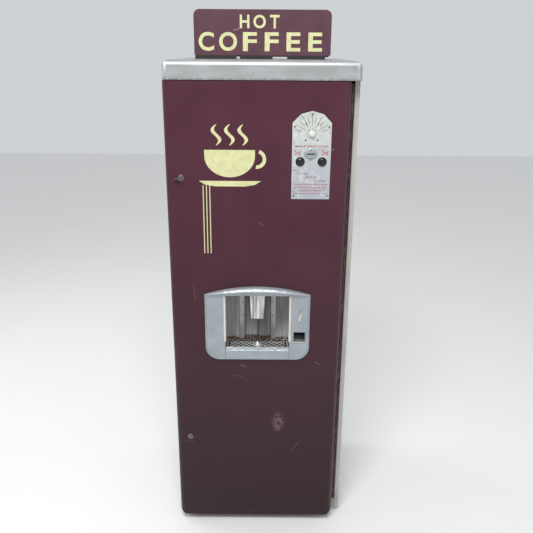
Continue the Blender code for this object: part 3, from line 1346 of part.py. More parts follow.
def waste_bucket():
    """The slops bucket on the base pan, with two ears for its handle."""
    low, high, r = BUCKET_LOW, BUCKET_LOW + BUCKET_HEIGHT, BUCKET_RADIUS
    foot = r - 0.022
    profile = [
        (0, low), (foot, low), (r, high - 0.004), (r + 0.003, high - 0.004), (r + 0.003, high),
        (r - BUCKET_WALL, high), (foot - BUCKET_WALL, low + BUCKET_WALL), (0, low + BUCKET_WALL),
    ]
    bucket = lathe(profile, (CUP_DROP_X, BUCKET_Y), "z", 32)
    ears = []
    for side in (-1, 1):
        near, far = CUP_DROP_X + side * (r - 0.003), CUP_DROP_X + side * (r + 0.011)
        ears.append(cylinder((BUCKET_Y, high - EAR_DROP), 0.004, "x", min(near, far), max(near, far), 12))
    name_piece(join(bucket, *ears), "waste_bucket", "ivory_plastic", "bucket", smooth=True)


def bucket_handle():
    """A bail that hangs from the ears and rests folded to the back."""
    z, reach = BUCKET_LOW + BUCKET_HEIGHT - EAR_DROP, BUCKET_RADIUS + 0.008
    eye_inner, eye_outer = 0.0048, 0.0080
    start = math.asin(0.006 / reach)
    loops = []
    for i in range(BAIL_STEPS + 1):
        angle = start + (math.pi - 2 * start) * i / BAIL_STEPS
        loops.append([(CUP_DROP_X + (reach + u) * math.cos(angle), BUCKET_Y + (reach + u) * math.sin(angle), z + v)
                      for u, v in circle((0, 0), WIRE_RADIUS, 8)])
    bail = rings(loops)
    eyes, bores = [], []
    for side in (-1, 1):
        x = CUP_DROP_X + side * reach
        eyes.append(cylinder((BUCKET_Y, z), eye_outer, "x", x - 0.002, x + 0.002, 16))
        bores.append(cylinder((BUCKET_Y, z), eye_inner, "x", x - 0.01, x + 0.01, 16))
    name_piece(cut(join(bail, *eyes), *bores), "bucket_handle", "chrome", "bucket_handle", smooth=True)


CONTROL_WIDTH, CONTROL_DEPTH, CONTROL_HEIGHT = 0.090, 0.200, 0.300
CONTROL_Z = 0.450


def control_box():
    """The electric box on the right wall, open only at its cable hole."""
    right = HALF - SHEET - GAP
    x, y = (right - CONTROL_WIDTH, right), (CABINET_FRONT + 0.170, CABINET_FRONT + 0.170 + CONTROL_DEPTH)
    z = (CONTROL_Z, CONTROL_Z + CONTROL_HEIGHT)
    body = box(x, y, z)
    hollow = box((x[0] + SHEET, x[1] - SHEET), (y[0] + SHEET, y[1] - SHEET), (z[0] + SHEET, z[1] - SHEET))
    hole = cylinder(((x[0] + x[1]) / 2, (y[0] + y[1]) / 2), 0.010, "z", z[0] - 0.01, z[0] + 0.01, 16)
    name_piece(cut(body, hollow, hole), "control_box", "zinc")


# ---------------------------------------------------------------- the whole machine


def finishes():
    add_finish("cabinet_paint", (161, 161, 156), 0.50, 0.0)
    add_finish("door_paint", (88, 54, 66), 0.32, 0.0)
    add_finish("crown_metal", (166, 171, 174), 0.38, 0.9)
    add_finish("sign_face", (105, 79, 93), 0.40, 0.0)
    add_finish("dark_steel", (45, 44, 46), 0.50, 0.6)
    add_finish("hinge_steel", (92, 62, 70), 0.45, 0.6)
    add_finish("cast_metal", (146, 155, 162), 0.42, 0.9)
    add_finish("stainless", (150, 152, 153), 0.28, 1.0)
    add_finish("chrome", (190, 190, 188), 0.15, 1.0)
    add_finish("zinc", (160, 163, 166), 0.45, 0.8)
    add_finish("brass", (170, 138, 80), 0.35, 1.0)
    add_finish("plate_enamel", (186, 191, 194), 0.35, 0.5)
    add_finish("ivory_plastic", (214, 206, 182), 0.45, 0.0)
    add_finish("clear_plastic", (200, 204, 202), 0.30, 0.0)
    add_finish("black_plastic", (28, 28, 30), 0.50, 0.0)
    add_finish("black_gloss", (16, 15, 17), 0.12, 0.0)


def bodies():
    """One empty for each body that moves, on its joint's axis."""
    add_body("door", (HINGE_X, HINGE_Y, FOOT_HEIGHT))
    for level, z in LOCKS_Z.items():
        add_body(f"lock_{level}", (LOCK_X, DOOR_FACE, z), "door")
    middle = (WINDOW_LEFT + WINDOW_RIGHT) / 2
    add_body("tray", (middle, TRAY_FRONT, TRAY_FLOOR), "door")
    add_body("grille", (middle, TRAY_FRONT, GRILLE_LOW), "tray")
    add_body("return_lever", (LEVER_X, DOOR_FACE, LEVER_Z), "door")
    add_body("return_rod", (LEVER_X + CRANK, DOOR_FACE + CRANK_Y, LEVER_Z), "door")
    add_body("selector", (PLATE_X, DOOR_FACE, PIVOT_Z), "door")
    for side, x in zip(("left", "right"), BUTTONS_X):
        add_body(f"button_{side}", (x, DOOR_FACE, BUTTON_Z), "door")
    add_body("cash_box", (BOX_LEFT, BOX_FRONT, CASH_BOX_Z), "door")
    add_body("turret", (TURRET_X, TURRET_Y, SHELF_TOP))
    add_body("pinion", (TURRET_X, PINION_Y, SHELF_TOP))
    for name in CANISTERS:
        add_body(f"auger_{name}", (canister_x(name), CANISTER_FRONT, AUGER_Z))
    add_body("canister_lid", (canister_x("cream"), CANISTER_FRONT, CANISTER_SHELF_TOP + CANISTER_HEIGHT))
    add_body("whipper", (*WHIP_PLACE, BOWL_TOP))
    add_body("bucket", (CUP_DROP_X, BUCKET_Y, BUCKET_LOW))
    add_body("bucket_handle", (CUP_DROP_X, BUCKET_Y, BUCKET_LOW + BUCKET_HEIGHT - EAR_DROP), "bucket")


def build():
    for obj in list(bpy.data.objects):
        bpy.data.objects.remove(obj)
    finishes()
    bodies()
    side_panel(-1, "side_panel_left")
    side_panel(1, "side_panel_right")
    for piece in (
        back_panel, service_plate, base_pan, levelling_feet, crown_top, sign,
        door_skin, door_liner, hinge, locks,
        delivery_bezel, chamber_liner, nozzle_shroud, drip_tray, drip_grille, tray_apron,
        coin_return_cup, coin_return_lever, return_link_rod, coin_mechanism, coin_chutes, cash_box,
        selector_plate, selector_pointer, selector_switch, coin_entry, push_buttons, button_bracket,
        upper_shelf, cup_turret, turret_drive, cup_chute, water_tank,
        canister_shelf, canister_lid, mixing_bowl, whipper, waste_bucket, bucket_handle, control_box,
    ):
        piece()
    for name in CANISTERS:
        canister(name)
        auger(name)


build()
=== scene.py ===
"""Finishes and fine pieces for a free-standing hot coffee vending machine.

Metres, X to the viewer's right, the front facing -Y, Z up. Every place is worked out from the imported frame.
"""

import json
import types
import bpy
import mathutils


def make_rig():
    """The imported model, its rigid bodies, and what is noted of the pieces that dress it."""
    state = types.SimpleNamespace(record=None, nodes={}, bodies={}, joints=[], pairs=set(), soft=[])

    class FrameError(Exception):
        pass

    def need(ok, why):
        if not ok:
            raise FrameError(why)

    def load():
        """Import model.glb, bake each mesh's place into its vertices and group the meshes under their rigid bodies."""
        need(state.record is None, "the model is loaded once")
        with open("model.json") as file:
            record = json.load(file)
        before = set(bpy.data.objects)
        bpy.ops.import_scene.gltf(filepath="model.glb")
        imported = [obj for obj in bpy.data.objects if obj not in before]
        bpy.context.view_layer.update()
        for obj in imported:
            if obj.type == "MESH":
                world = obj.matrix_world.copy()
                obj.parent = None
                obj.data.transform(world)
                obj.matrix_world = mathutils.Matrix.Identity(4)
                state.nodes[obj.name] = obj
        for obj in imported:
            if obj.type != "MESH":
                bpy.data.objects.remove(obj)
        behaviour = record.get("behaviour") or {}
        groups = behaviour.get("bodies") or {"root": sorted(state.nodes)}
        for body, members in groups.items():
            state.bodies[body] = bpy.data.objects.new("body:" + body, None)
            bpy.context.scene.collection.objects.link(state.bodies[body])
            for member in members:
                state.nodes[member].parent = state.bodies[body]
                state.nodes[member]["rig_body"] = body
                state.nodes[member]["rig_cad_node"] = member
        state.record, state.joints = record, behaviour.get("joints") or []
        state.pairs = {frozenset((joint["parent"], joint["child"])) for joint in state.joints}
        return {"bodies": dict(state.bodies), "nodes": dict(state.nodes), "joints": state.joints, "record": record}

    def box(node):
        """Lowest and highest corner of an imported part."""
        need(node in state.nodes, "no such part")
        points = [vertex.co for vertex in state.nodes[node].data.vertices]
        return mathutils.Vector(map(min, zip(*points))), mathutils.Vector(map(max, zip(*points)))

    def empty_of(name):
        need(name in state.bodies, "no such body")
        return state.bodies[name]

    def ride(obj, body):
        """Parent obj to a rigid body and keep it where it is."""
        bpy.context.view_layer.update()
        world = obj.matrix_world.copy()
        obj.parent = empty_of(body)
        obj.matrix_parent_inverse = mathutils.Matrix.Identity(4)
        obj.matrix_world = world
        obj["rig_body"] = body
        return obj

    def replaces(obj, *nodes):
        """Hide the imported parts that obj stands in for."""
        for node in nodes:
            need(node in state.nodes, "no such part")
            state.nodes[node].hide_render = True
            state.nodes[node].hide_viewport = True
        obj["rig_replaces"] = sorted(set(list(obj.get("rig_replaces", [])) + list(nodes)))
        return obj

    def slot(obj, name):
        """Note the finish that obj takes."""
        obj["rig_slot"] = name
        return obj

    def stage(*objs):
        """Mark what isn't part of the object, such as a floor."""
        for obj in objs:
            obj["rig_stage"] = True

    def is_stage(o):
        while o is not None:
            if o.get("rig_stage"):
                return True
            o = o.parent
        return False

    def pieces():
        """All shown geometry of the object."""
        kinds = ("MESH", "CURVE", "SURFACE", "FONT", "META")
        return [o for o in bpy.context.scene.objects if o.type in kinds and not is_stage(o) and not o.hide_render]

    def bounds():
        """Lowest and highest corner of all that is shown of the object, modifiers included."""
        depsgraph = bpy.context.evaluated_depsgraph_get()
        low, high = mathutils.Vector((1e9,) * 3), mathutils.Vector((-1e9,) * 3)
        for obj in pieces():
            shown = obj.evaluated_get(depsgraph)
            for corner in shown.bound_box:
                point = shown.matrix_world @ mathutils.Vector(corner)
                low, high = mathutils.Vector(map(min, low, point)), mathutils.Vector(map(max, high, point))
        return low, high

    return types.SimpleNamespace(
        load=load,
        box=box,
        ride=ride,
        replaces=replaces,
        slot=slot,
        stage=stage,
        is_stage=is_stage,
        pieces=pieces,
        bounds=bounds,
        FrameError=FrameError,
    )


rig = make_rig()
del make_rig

bl_info = {
    "name": "Hot coffee vending machine",
    "version": (1, 0, 0),
    "blender": (4, 5, 0),
    "location": "View3D > Sidebar > Vending",
    "description": "Builds the finished look of a coffee vending machine round its packed frame",
    "category": "Object",
}

import json
import math
import sys

import bmesh
import bpy
from bpy.props import FloatProperty, IntProperty, PointerProperty, StringProperty
from mathutils import Matrix, Vector

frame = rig.load()
CAD_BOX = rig.bounds()

SMOOTH = math.radians(35)


def shade(code):
    """Linear red, green and blue from a six-figure web colour."""
    values = [int(code[i:i + 2], 16) / 255 for i in (0, 2, 4)]
    return tuple(((v + 0.055) / 1.055) ** 2.4 if v > 0.04045 else v / 12.92 for v in values)


# ---------------------------------------------------------------- node graphs


class Wire:
    """One output of a node graph, with Python's operators for maths on its values."""

    def __init__(self, graph, socket):
        self.graph, self.socket = graph, socket

    def maths(self, operation, *others):
        return self.graph.node("ShaderNodeMath", {"operation": operation}, [self, *others])

    def __add__(self, other):
        return self.maths("ADD", other)

    def __sub__(self, other):
        return self.maths("SUBTRACT", other)

    def __mul__(self, other):
        return self.maths("MULTIPLY", other)

    def __truediv__(self, other):
        return self.maths("DIVIDE", other)

    def __pow__(self, other):
        return self.maths("POWER", other)

    def __rsub__(self, other):
        return self.graph.node("ShaderNodeMath", {"operation": "SUBTRACT"}, [other, self])

    def __abs__(self):
        return self.maths("ABSOLUTE")

    def above(self, edge, softness):
        """0 below the edge and 1 above it, with a ramp as wide as the softness."""
        values = [self, edge - softness / 2, edge + softness / 2, 0.0, 1.0]
        return self.graph.node("ShaderNodeMapRange", {"interpolation_type": "SMOOTHSTEP"}, values)

    __radd__ = __add__
    __rmul__ = __mul__


class Graph:
    """A shader or geometry node tree that is being written."""

    def __init__(self, tree):
        self.tree = tree
        tree.nodes.clear()

    def node(self, kind, settings=None, values=(), output=0):
        """Adds any node: its settings first, then the values or wires of its sockets."""
        made = self.tree.nodes.new(kind)
        for key, value in (settings or {}).items():
            if key == "stops":
                ramp = made.color_ramp.elements
                while len(ramp) < len(value):
                    ramp.new(0.5)
                for element, (position, colour) in zip(ramp, value):
                    element.position, element.color = position, (*colour, 1.0)
            else:
                setattr(made, key, value)
        for key, value in values.items() if isinstance(values, dict) else enumerate(values):
            if isinstance(value, Wire):
                self.tree.links.new(value.socket, made.inputs[key])
            elif value is not None:
                made.inputs[key].default_value = value
        return Wire(self, made.outputs[output]) if len(made.outputs) else None


class Finish(Graph):
    """A material that is being written, on Object coordinates, which are metres on the machine."""

    def __init__(self, name):
        self.material = bpy.data.materials.new(name)
        self.material.use_nodes = True
        super().__init__(self.material.node_tree)
        self.place = self.node("ShaderNodeTexCoord", output="Object")
        self.x, self.y, self.z = [
            self.node("ShaderNodeSeparateXYZ", values=[self.place], output=i) for i in range(3)
        ]

    def stretched(self, x, y, z):
        """The place scaled along each axis, so that a pattern on it is stretched."""
        return self.node("ShaderNodeVectorMath", {"operation": "MULTIPLY"}, [self.place, (x, y, z)])

    def noise(self, scale, detail=2.0, roughness=0.5, place=None):
        values = {"Vector": place or self.place, "Scale": scale, "Detail": detail, "Roughness": roughness}
        return self.node("ShaderNodeTexNoise", values=values, output="Fac")

    def cells(self, scale, feature="F1", output="Distance"):
        values = {"Vector": self.place, "Scale": scale}
        return self.node("ShaderNodeTexVoronoi", {"feature": feature}, values, output)

    def mix(self, factor, first, second):
        """A blend of two colours, each a wire or a web colour."""
        colours = [c if isinstance(c, Wire) else (*shade(c), 1.0) for c in (first, second)]
        return self.node("ShaderNodeMix", {"data_type": "RGBA"}, {0: factor, 6: colours[0], 7: colours[1]}, 2)

    def streak(self, start, end, width, softness=0.6):
        """A thin mark between two (x, z) places on the front."""
        (x0, z0), (x1, z1) = start, end
        length = math.hypot(x1 - x0, z1 - z0)
        ux, uz = (x1 - x0) / length, (z1 - z0) / length
        along = (self.x - x0) * ux + (self.z - z0) * uz
        across = abs((self.x - x0) * uz - (self.z - z0) * ux)
        inside = along.above(0.0, width * 3) * (1 - along.above(length, width * 3))
        return inside * (1 - across.above(width / 2, width * softness))

    def spot(self, centre, radius, softness, stretch=1.0):
        """A round or oval mark about an (x, z) place on the front."""
        dx, dz = self.x - centre[0], (self.z - centre[1]) / stretch
        distance = (dx * dx + dz * dz) ** 0.5
        return 1 - distance.above(radius, softness)

    def done(self, colour, roughness, metallic=0.0, height=None, depth=0.0, **fixed):
        """Wires up the Principled shader and returns the material. Height is bumped by the depth, in metres."""
        values = {"Base Color": colour, "Roughness": roughness, "Metallic": metallic, **fixed}
        if height is not None:
            values["Normal"] = self.node("ShaderNodeBump", values={"Height": height, "Distance": depth})
        shader = self.node("ShaderNodeBsdfPrincipled", values=values)
        self.node("ShaderNodeOutputMaterial", values={"Surface": shader})
        return self.material


# ---------------------------------------------------------------- finishes

FINISHES = {}


def finish(name):
    """The material of this name, made the first time that it is asked for."""
    if name not in FINISHES:
        FINISHES[name] = globals()[f"make_{name}"]()
    return FINISHES[name]


def sizes():
    return bpy.context.scene.vending


def make_door_enamel():
    """Maroon enamel on steel, with orange peel, faint cloudiness, painted shade that darkens it towards the bottom,
    and the door's own scuffs and scratches.
    """
    f = Finish("door_enamel")
    cloud = f.noise(5.0, 4.0, 0.55)
    fine = f.noise(190.0, 2.0)
    base = f.mix(cloud.above(0.5, 0.5), "431B2A", "4C2432")
    # Painted shade: the enamel is blended towards a darker maroon lower down, so the door darkens towards the bottom
    # as the light falls off.
    base = f.mix(1 - f.z.above(0.75, 1.5), base, "260D15")
    speckle = f.noise(420.0, 3.0, 0.7).above(0.69, 0.05) * f.noise(24.0, 2.0).above(0.52, 0.2)
    rub = f.spot((0.067, 0.455), 0.017, 0.03, 1.9) * f.noise(60.0, 5.0, 0.7).above(0.47, 0.14)
    marks = [
        f.streak((-0.075, 0.700), (-0.052, 0.690), 0.0014),
        f.streak((0.196, 0.712), (0.216, 0.701), 0.0013),
        f.streak((-0.090, 0.655), (-0.068, 0.648), 0.0010),
        f.streak((0.229, 1.484), (0.236, 1.486), 0.0030),
        f.streak((-0.236, 1.020), (-0.232, 0.955), 0.0008),
        f.streak((0.120, 0.330), (0.150, 0.372), 0.0009),
        f.streak((-0.010, 1.240), (0.012, 1.229), 0.0009),
    ]
    scratched = marks[0]
    for mark in marks[1:]:
        scratched = scratched.maths("MAXIMUM", mark)
    arc = f.streak((-0.285, 0.372), (-0.247, 0.364), 0.0016)
    low = 1 - f.z.above(0.052, 0.030)
    dirt = low * f.noise(55.0, 5.0, 0.65).above(0.46, 0.25)
    colour = f.mix(rub * 0.55, base, "8C6F74")
    colour = f.mix(scratched * 0.5, colour, "B09A98")
    colour = f.mix(arc * 0.5, colour, "7E5F66")
    colour = f.mix(speckle * 0.35, colour, "7B5A62")
    colour = f.mix(dirt * 0.5, colour, "3A2A2A")
    roughness = 0.36 + cloud * 0.10 + rub * 0.25 + dirt * 0.3
    peel = fine * 0.6 + f.noise(36.0, 2.0) * 2.4 - scratched * 2.0
    polish = {"Coat Weight": 0.10, "Coat Roughness": 0.22, "Specular IOR Level": 0.30}
    return f.done(colour, roughness, 0.0, peel, 0.00022, **polish)


def make_sign_enamel():
    """The sign's flatter, dustier maroon, with a rub or two."""
    f = Finish("sign_enamel")
    cloud = f.noise(14.0, 4.0, 0.6)
    colour = f.mix(cloud.above(0.5, 0.4), "4B2A37", "56323F")
    rub = f.streak((-0.098, 1.853), (-0.078, 1.858), 0.0030) * f.noise(160.0, 4.0, 0.7).above(0.45, 0.2)
    colour = f.mix(rub * 0.7, colour, "A58D92")
    return f.done(colour, 0.42 + cloud * 0.12, 0.0, f.noise(150.0, 2.0), 0.00015)


def make_grey_paint():
    """The cabinet's warm light grey, a little grimy near the floor and streaked up the sides."""
    f = Finish("grey_paint")
    cloud = f.noise(4.0, 5.0, 0.6)
    colour = f.mix(cloud.above(0.52, 0.4), "A9A9A2", "B5B4AC")
    drips = f.noise(9.0, 3.0, 0.6, f.stretched(9.0, 9.0, 0.7)).above(0.56, 0.16)
    colour = f.mix(drips * 0.22, colour, "8E8A80")
    low = (1 - f.z.above(0.10, 0.16)) * f.noise(38.0, 5.0, 0.65).above(0.45, 0.3)
    colour = f.mix(low * 0.55, colour, "6D6459")
    chips = f.noise(120.0, 4.0, 0.65).above(0.715, 0.03)
    colour = f.mix(chips * 0.7, colour, "6B5A50")
    peel = f.noise(170.0, 2.0) + f.noise(30.0, 2.0) * 2.0 - chips * 2.0
    return f.done(colour, 0.42 + cloud * 0.14 + low * 0.2, 0.0, peel, 0.00022)


def make_crown_metal():
    """Drawn aluminium on the crown: fine lines along its width, smudges, and small pits."""
    f = Finish("crown_metal")
    lines = f.noise(60.0, 3.0, 0.6, f.stretched(0.35, 6.0, 14.0))
    smear = f.noise(7.0, 4.0, 0.6, f.stretched(1.0, 1.0, 3.0))
    colour = f.mix(smear.above(0.5, 0.35), "B4B8B9", "A3A6A6")
    pits = f.noise(260.0, 3.0, 0.65).above(0.70, 0.04)
    colour = f.mix(pits * 0.7, colour, "6F6C68")
    edge = (1 - f.z.above(1.7055, 0.006)) * f.noise(90.0, 4.0, 0.7).above(0.45, 0.2)
    colour = f.mix(edge * 0.5, colour, "6A625A")
    roughness = 0.34 + smear * 0.16 + pits * 0.2
    return f.done(colour, roughness, 0.55, lines * 0.6 + f.noise(200.0) * 0.4 - pits, 0.00018)


def make_hammered():
    """Silver hammer-finish on the castings: shallow round dimples."""
    f = Finish("hammered")
    dimples = f.cells(150.0, feature="SMOOTH_F1")
    cloud = f.noise(11.0, 4.0, 0.6)
    colour = f.mix(cloud.above(0.5, 0.4), "A9B0B5", "9AA2A8")
    specks = f.noise(330.0, 3.0, 0.7).above(0.69, 0.05)
    colour = f.mix(specks * 0.5, colour, "747B80")
    return f.done(colour, 0.36 + cloud * 0.10, 0.55, dimples * 2.0 + f.noise(90.0, 3.0), 0.0005)


def make_stainless():
    """Stainless sheet brushed upright, faintly clouded."""
    f = Finish("stainless")
    grain = f.noise(40.0, 3.0, 0.6, f.stretched(16.0, 16.0, 0.35))
    cloud = f.noise(12.0, 4.0, 0.6, f.stretched(1.5, 1.5, 0.5))
    colour = f.mix(cloud.above(0.5, 0.4), "B9BBBB", "9FA1A0")
    return f.done(colour, 0.26 + grain * 0.16 + cloud * 0.08, 0.55, grain, 0.00010)


def make_chamber_steel():
    """The same sheet inside the cup station, with the brown marks that coffee leaves."""
    f = Finish("chamber_steel")
    back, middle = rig.box("chamber_liner")[1].y, sizes().drop_x
    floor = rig.box("drip_grille")[0].z
    grain = f.noise(40.0, 3.0, 0.6, f.stretched(16.0, 16.0, 0.35))
    cloud = f.noise(16.0, 4.0, 0.6, f.stretched(1.5, 1.5, 0.4))
    colour = f.mix(cloud.above(0.5, 0.4), "D6D7D5", "B2B4B4")
    bands = f.noise(38.0, 3.0, 0.6, f.stretched(1.6, 1.6, 0.06)).above(0.5, 0.12)
    colour = f.mix(bands * 0.45, colour, "7D7F82")
    warm = f.noise(20.0, 3.0, 0.6, f.stretched(2.2, 2.2, 0.3)).above(0.55, 0.14)
    colour = f.mix(warm * 0.35, colour, "A39A80")
    drip = f.streak((middle + 0.001, floor + 0.004), (middle + 0.004, floor + 0.098), 0.0042, 0.9)
    drip = drip * f.y.above(back - 0.03, 0.01) * f.noise(120.0, 3.0).above(0.36, 0.3)
    rise = f.noise(55.0, 4.0, 0.7, f.stretched(1.0, 1.0, 0.3)) * 0.020
    tide = 1 - (f.z - rise).above(floor + 0.002, 0.010)
    tide = tide * f.noise(70.0, 4.0, 0.7).above(0.40, 0.2)
    colour = f.mix(drip * 0.9, colour, "5A3413")
    colour = f.mix(tide * 0.85, colour, "4E2F16")
    roughness = 0.20 + grain * 0.16 + cloud * 0.06 + drip * 0.4 + tide * 0.4
    return f.done(colour, roughness + 0.08, 0.22, grain, 0.00010)


def make_chrome():
    """Old bright plating, clouded and pitted."""
    f = Finish("chrome")
    cloud = f.noise(60.0, 4.0, 0.6)
    pits = f.noise(500.0, 3.0, 0.7).above(0.68, 0.05)
    colour = f.mix(pits * 0.6, "C9C9C5", "6F6250")
    return f.done(colour, 0.10 + cloud * 0.16 + pits * 0.3, 1.0, f.noise(220.0, 2.0), 0.00006)


def make_dull_steel():
    """Lock and screw steel that has gone grey."""
    f = Finish("dull_steel")
    cloud = f.noise(120.0, 4.0, 0.6)
    colour = f.mix(cloud.above(0.5, 0.3), "8C8982", "5D574F")
    return f.done(colour, 0.36 + cloud * 0.2, 0.85, cloud, 0.00008)


def make_dark_screw():
    f = Finish("dark_screw")
    cloud = f.noise(300.0, 3.0, 0.6)
    colour = f.mix(cloud, "2B2724", "4A423A")
    return f.done(colour, 0.45 + cloud * 0.2, 0.6, cloud, 0.00006)


def make_zinc_plate():
    """Zinc-plated sheet with its large flat crystals and white bloom."""
    f = Finish("zinc_plate")
    flake = f.cells(38.0, output="Color")
    tone = f.node("ShaderNodeRGBToBW", values=[flake])
    bloom = f.noise(22.0, 5.0, 0.65).above(0.58, 0.2)
    colour = f.mix(tone, "8F9498", "A6AAAD")
    colour = f.mix(bloom * 0.35, colour, "C9C9C4")
    return f.done(colour, 0.34 + tone * 0.12 + bloom * 0.2, 0.8, f.noise(140.0, 3.0), 0.0001)


def make_black_paint():
    f = Finish("black_paint")
    cloud = f.noise(40.0, 4.0, 0.6)
    worn = f.noise(150.0, 4.0, 0.7).above(0.68, 0.06)
    colour = f.mix(worn * 0.6, "201F21", "55504C")
    return f.done(colour, 0.42 + cloud * 0.2, 0.1, f.noise(260.0, 2.0), 0.0001)


def make_hinge_paint():
    """Maroon paint on the hinge, worn to steel on its knuckles."""
    f = Finish("hinge_paint")
    worn = f.noise(80.0, 4.0, 0.65, f.stretched(1.0, 1.0, 0.5)).above(0.56, 0.12)
    colour = f.mix(worn * 0.6, "4A2833", "7E7570")
    return f.done(colour, 0.40 + worn * 0.1, worn * 0.6, f.noise(200.0, 2.0), 0.0001)


def make_brass_fitting():
    f = Finish("brass_fitting")
    cloud = f.noise(60.0, 4.0, 0.6)
    colour = f.mix(cloud.above(0.5, 0.3), "B48E4C", "7D6233")
    return f.done(colour, 0.28 + cloud * 0.2, 1.0, f.noise(240.0, 2.0), 0.0001)


def make_mesh_steel():
    """Dulled light plating on the drip grille, stained along its rear edge."""
    f = Finish("mesh_steel")
    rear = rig.box("drip_grille")[1].y
    cloud = f.noise(45.0, 4.0, 0.6)
    colour = f.mix(cloud.above(0.5, 0.4), "D2D4D4", "A9ACAD")
    edge = f.y.above(rear - 0.012, 0.016) * f.noise(80.0, 3.0, 0.6).above(0.42, 0.14)
    spots = f.noise(95.0, 3.0, 0.6).above(0.66, 0.06)
    stain = edge.maths("MAXIMUM", spots * 0.5)
    colour = f.mix(stain * 0.85, colour, "5C3A1C")
    return f.done(colour, 0.30 + cloud * 0.15, 0.35, cloud, 0.00008)


def make_shroud_metal():
    """The drink guide's bright casting, streaked from top to bottom."""
    f = Finish("shroud_metal")
    streaks = f.noise(55.0, 3.0, 0.6, f.stretched(2.2, 1.0, 0.12))
    colour = f.mix(streaks.above(0.5, 0.25), "8E949C", "DDDAD2")
    return f.done(colour, 0.30 + streaks * 0.12, 0.35, streaks, 0.00010)


def make_pale_trim():
    """Pale moulded plastic, yellowed a little."""
    f = Finish("pale_trim")
    cloud = f.noise(30.0, 4.0, 0.6)
    colour = f.mix(cloud.above(0.5, 0.4), "DAD8D0", "C8C5BA")
    return f.done(colour, 0.38 + cloud * 0.1, 0.0, cloud, 0.00005)


def make_plate_metal():
    """The selector plate's silver enamel, cooler below, finely scuffed."""
    f = Finish("plate_metal")
    low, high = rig.box("selector_plate")
    rise = (f.z - low.z) / (high.z - low.z)
    scuff = f.noise(90.0, 4.0, 0.65, f.stretched(1.0, 1.0, 0.4))
    colour = f.mix(rise.above(0.45, 0.9), "AFB4BE", "C9D0CA")
    colour = f.mix(scuff.above(0.60, 0.10) * 0.5, colour, "E2E4E0")
    colour = f.mix(f.noise(35.0, 4.0, 0.65).above(0.60, 0.10) * 0.35, colour, "8D9090")
    return f.done(colour, 0.34 + scuff * 0.14, 0.35, scuff, 0.00008)


def make_red_ink():
    f = Finish("red_ink")
    worn = f.noise(420.0, 3.0, 0.6).above(0.60, 0.12)
    colour = f.mix(worn * 0.55, "A8353B", "C79A98")
    return f.done(colour, 0.5, 0.0, worn, 0.00003)


def make_black_ink():
    f = Finish("black_ink")
    worn = f.noise(420.0, 3.0, 0.6).above(0.64, 0.12)
    colour = f.mix(worn * 0.4, "232326", "6A6A6C")
    return f.done(colour, 0.5, 0.0, worn, 0.00003)


def make_cream_paint():
    """The cream of the lettering, emblem and stripes, thin in places."""
    f = Finish("cream_paint")
    cloud = f.noise(45.0, 4.0, 0.6)
    worn = f.noise(300.0, 4.0, 0.7).above(0.70, 0.05)
    colour = f.mix(cloud.above(0.5, 0.4), "D2D2A0", "C4C594")
    colour = f.mix(worn * 0.6, colour, "8A6A66")
    return f.done(colour, 0.44 + cloud * 0.1, 0.0, cloud, 0.00008)


def make_ivory_plastic():
    f = Finish("ivory_plastic")
    cloud = f.noise(16.0, 4.0, 0.6)
    stain = f.noise(34.0, 5.0, 0.7).above(0.62, 0.1)
    colour = f.mix(cloud.above(0.5, 0.4), "DCD5BD", "CFC6AA")
    colour = f.mix(stain * 0.3, colour, "A68A5E")
    return f.done(colour, 0.42 + cloud * 0.12, 0.0, f.noise(130.0, 3.0), 0.0001)


def make_smoky_plastic():
    """The canisters: cloudy moulded plastic, dusted with powder inside."""
    f = Finish("smoky_plastic")
    cloud = f.noise(18.0, 4.0, 0.6)
    dust = f.noise(60.0, 5.0, 0.7).above(0.52, 0.25)
    colour = f.mix(cloud.above(0.5, 0.4), "BFC3BE", "ACAFA8")
    colour = f.mix(dust * 0.35, colour, "C9B493")
    return f.done(colour, 0.30 + dust * 0.25, 0.0, f.noise(90.0, 3.0), 0.0001)


def make_black_plastic():
    f = Finish("black_plastic")
    cloud = f.noise(50.0, 4.0, 0.6)
    return f.done(f.mix(cloud, "1B1B1D", "2C2B2B"), 0.45 + cloud * 0.12, 0.0, f.noise(300.0, 2.0), 0.0001)


def make_button_gloss():
    """Moulded black, polished, with fine hairlines from use."""
    f = Finish("button_gloss")
    hair = f.noise(120.0, 3.0, 0.6, f.stretched(6.0, 1.0, 1.0))
    return f.done(f.mix(hair, "0D0C0E", "18171A"), 0.07 + hair * 0.10, 0.0, hair, 0.00002)


def make_paper_cup():
    f = Finish("paper_cup")
    fibre = f.noise(260.0, 4.0, 0.7, f.stretched(1.0, 1.0, 0.3))
    colour = f.mix(fibre, "EDEAE0", "DCD8CB")
    return f.done(colour, 0.62, 0.0, fibre, 0.0001)


def make_dark_gap():
    """Near-black painted shade for deep slots and gaps, with a faintly dusty mottle."""
    f = Finish("dark_gap")
    dust = f.noise(70.0, 4.0, 0.7)
    return f.done(f.mix(dust, "121113", "211E20"), 0.8, 0.0, dust, 0.0001)


def make_floor_paper():
    f = Finish("floor_paper")
    cloud = f.noise(2.0, 3.0)
    return f.done(f.mix(cloud, "F1F1EF", "EDEDEB"), 0.75, 0.0, f.noise(50.0), 0.0001)


# ---------------------------------------------------------------- sizes and colours to change


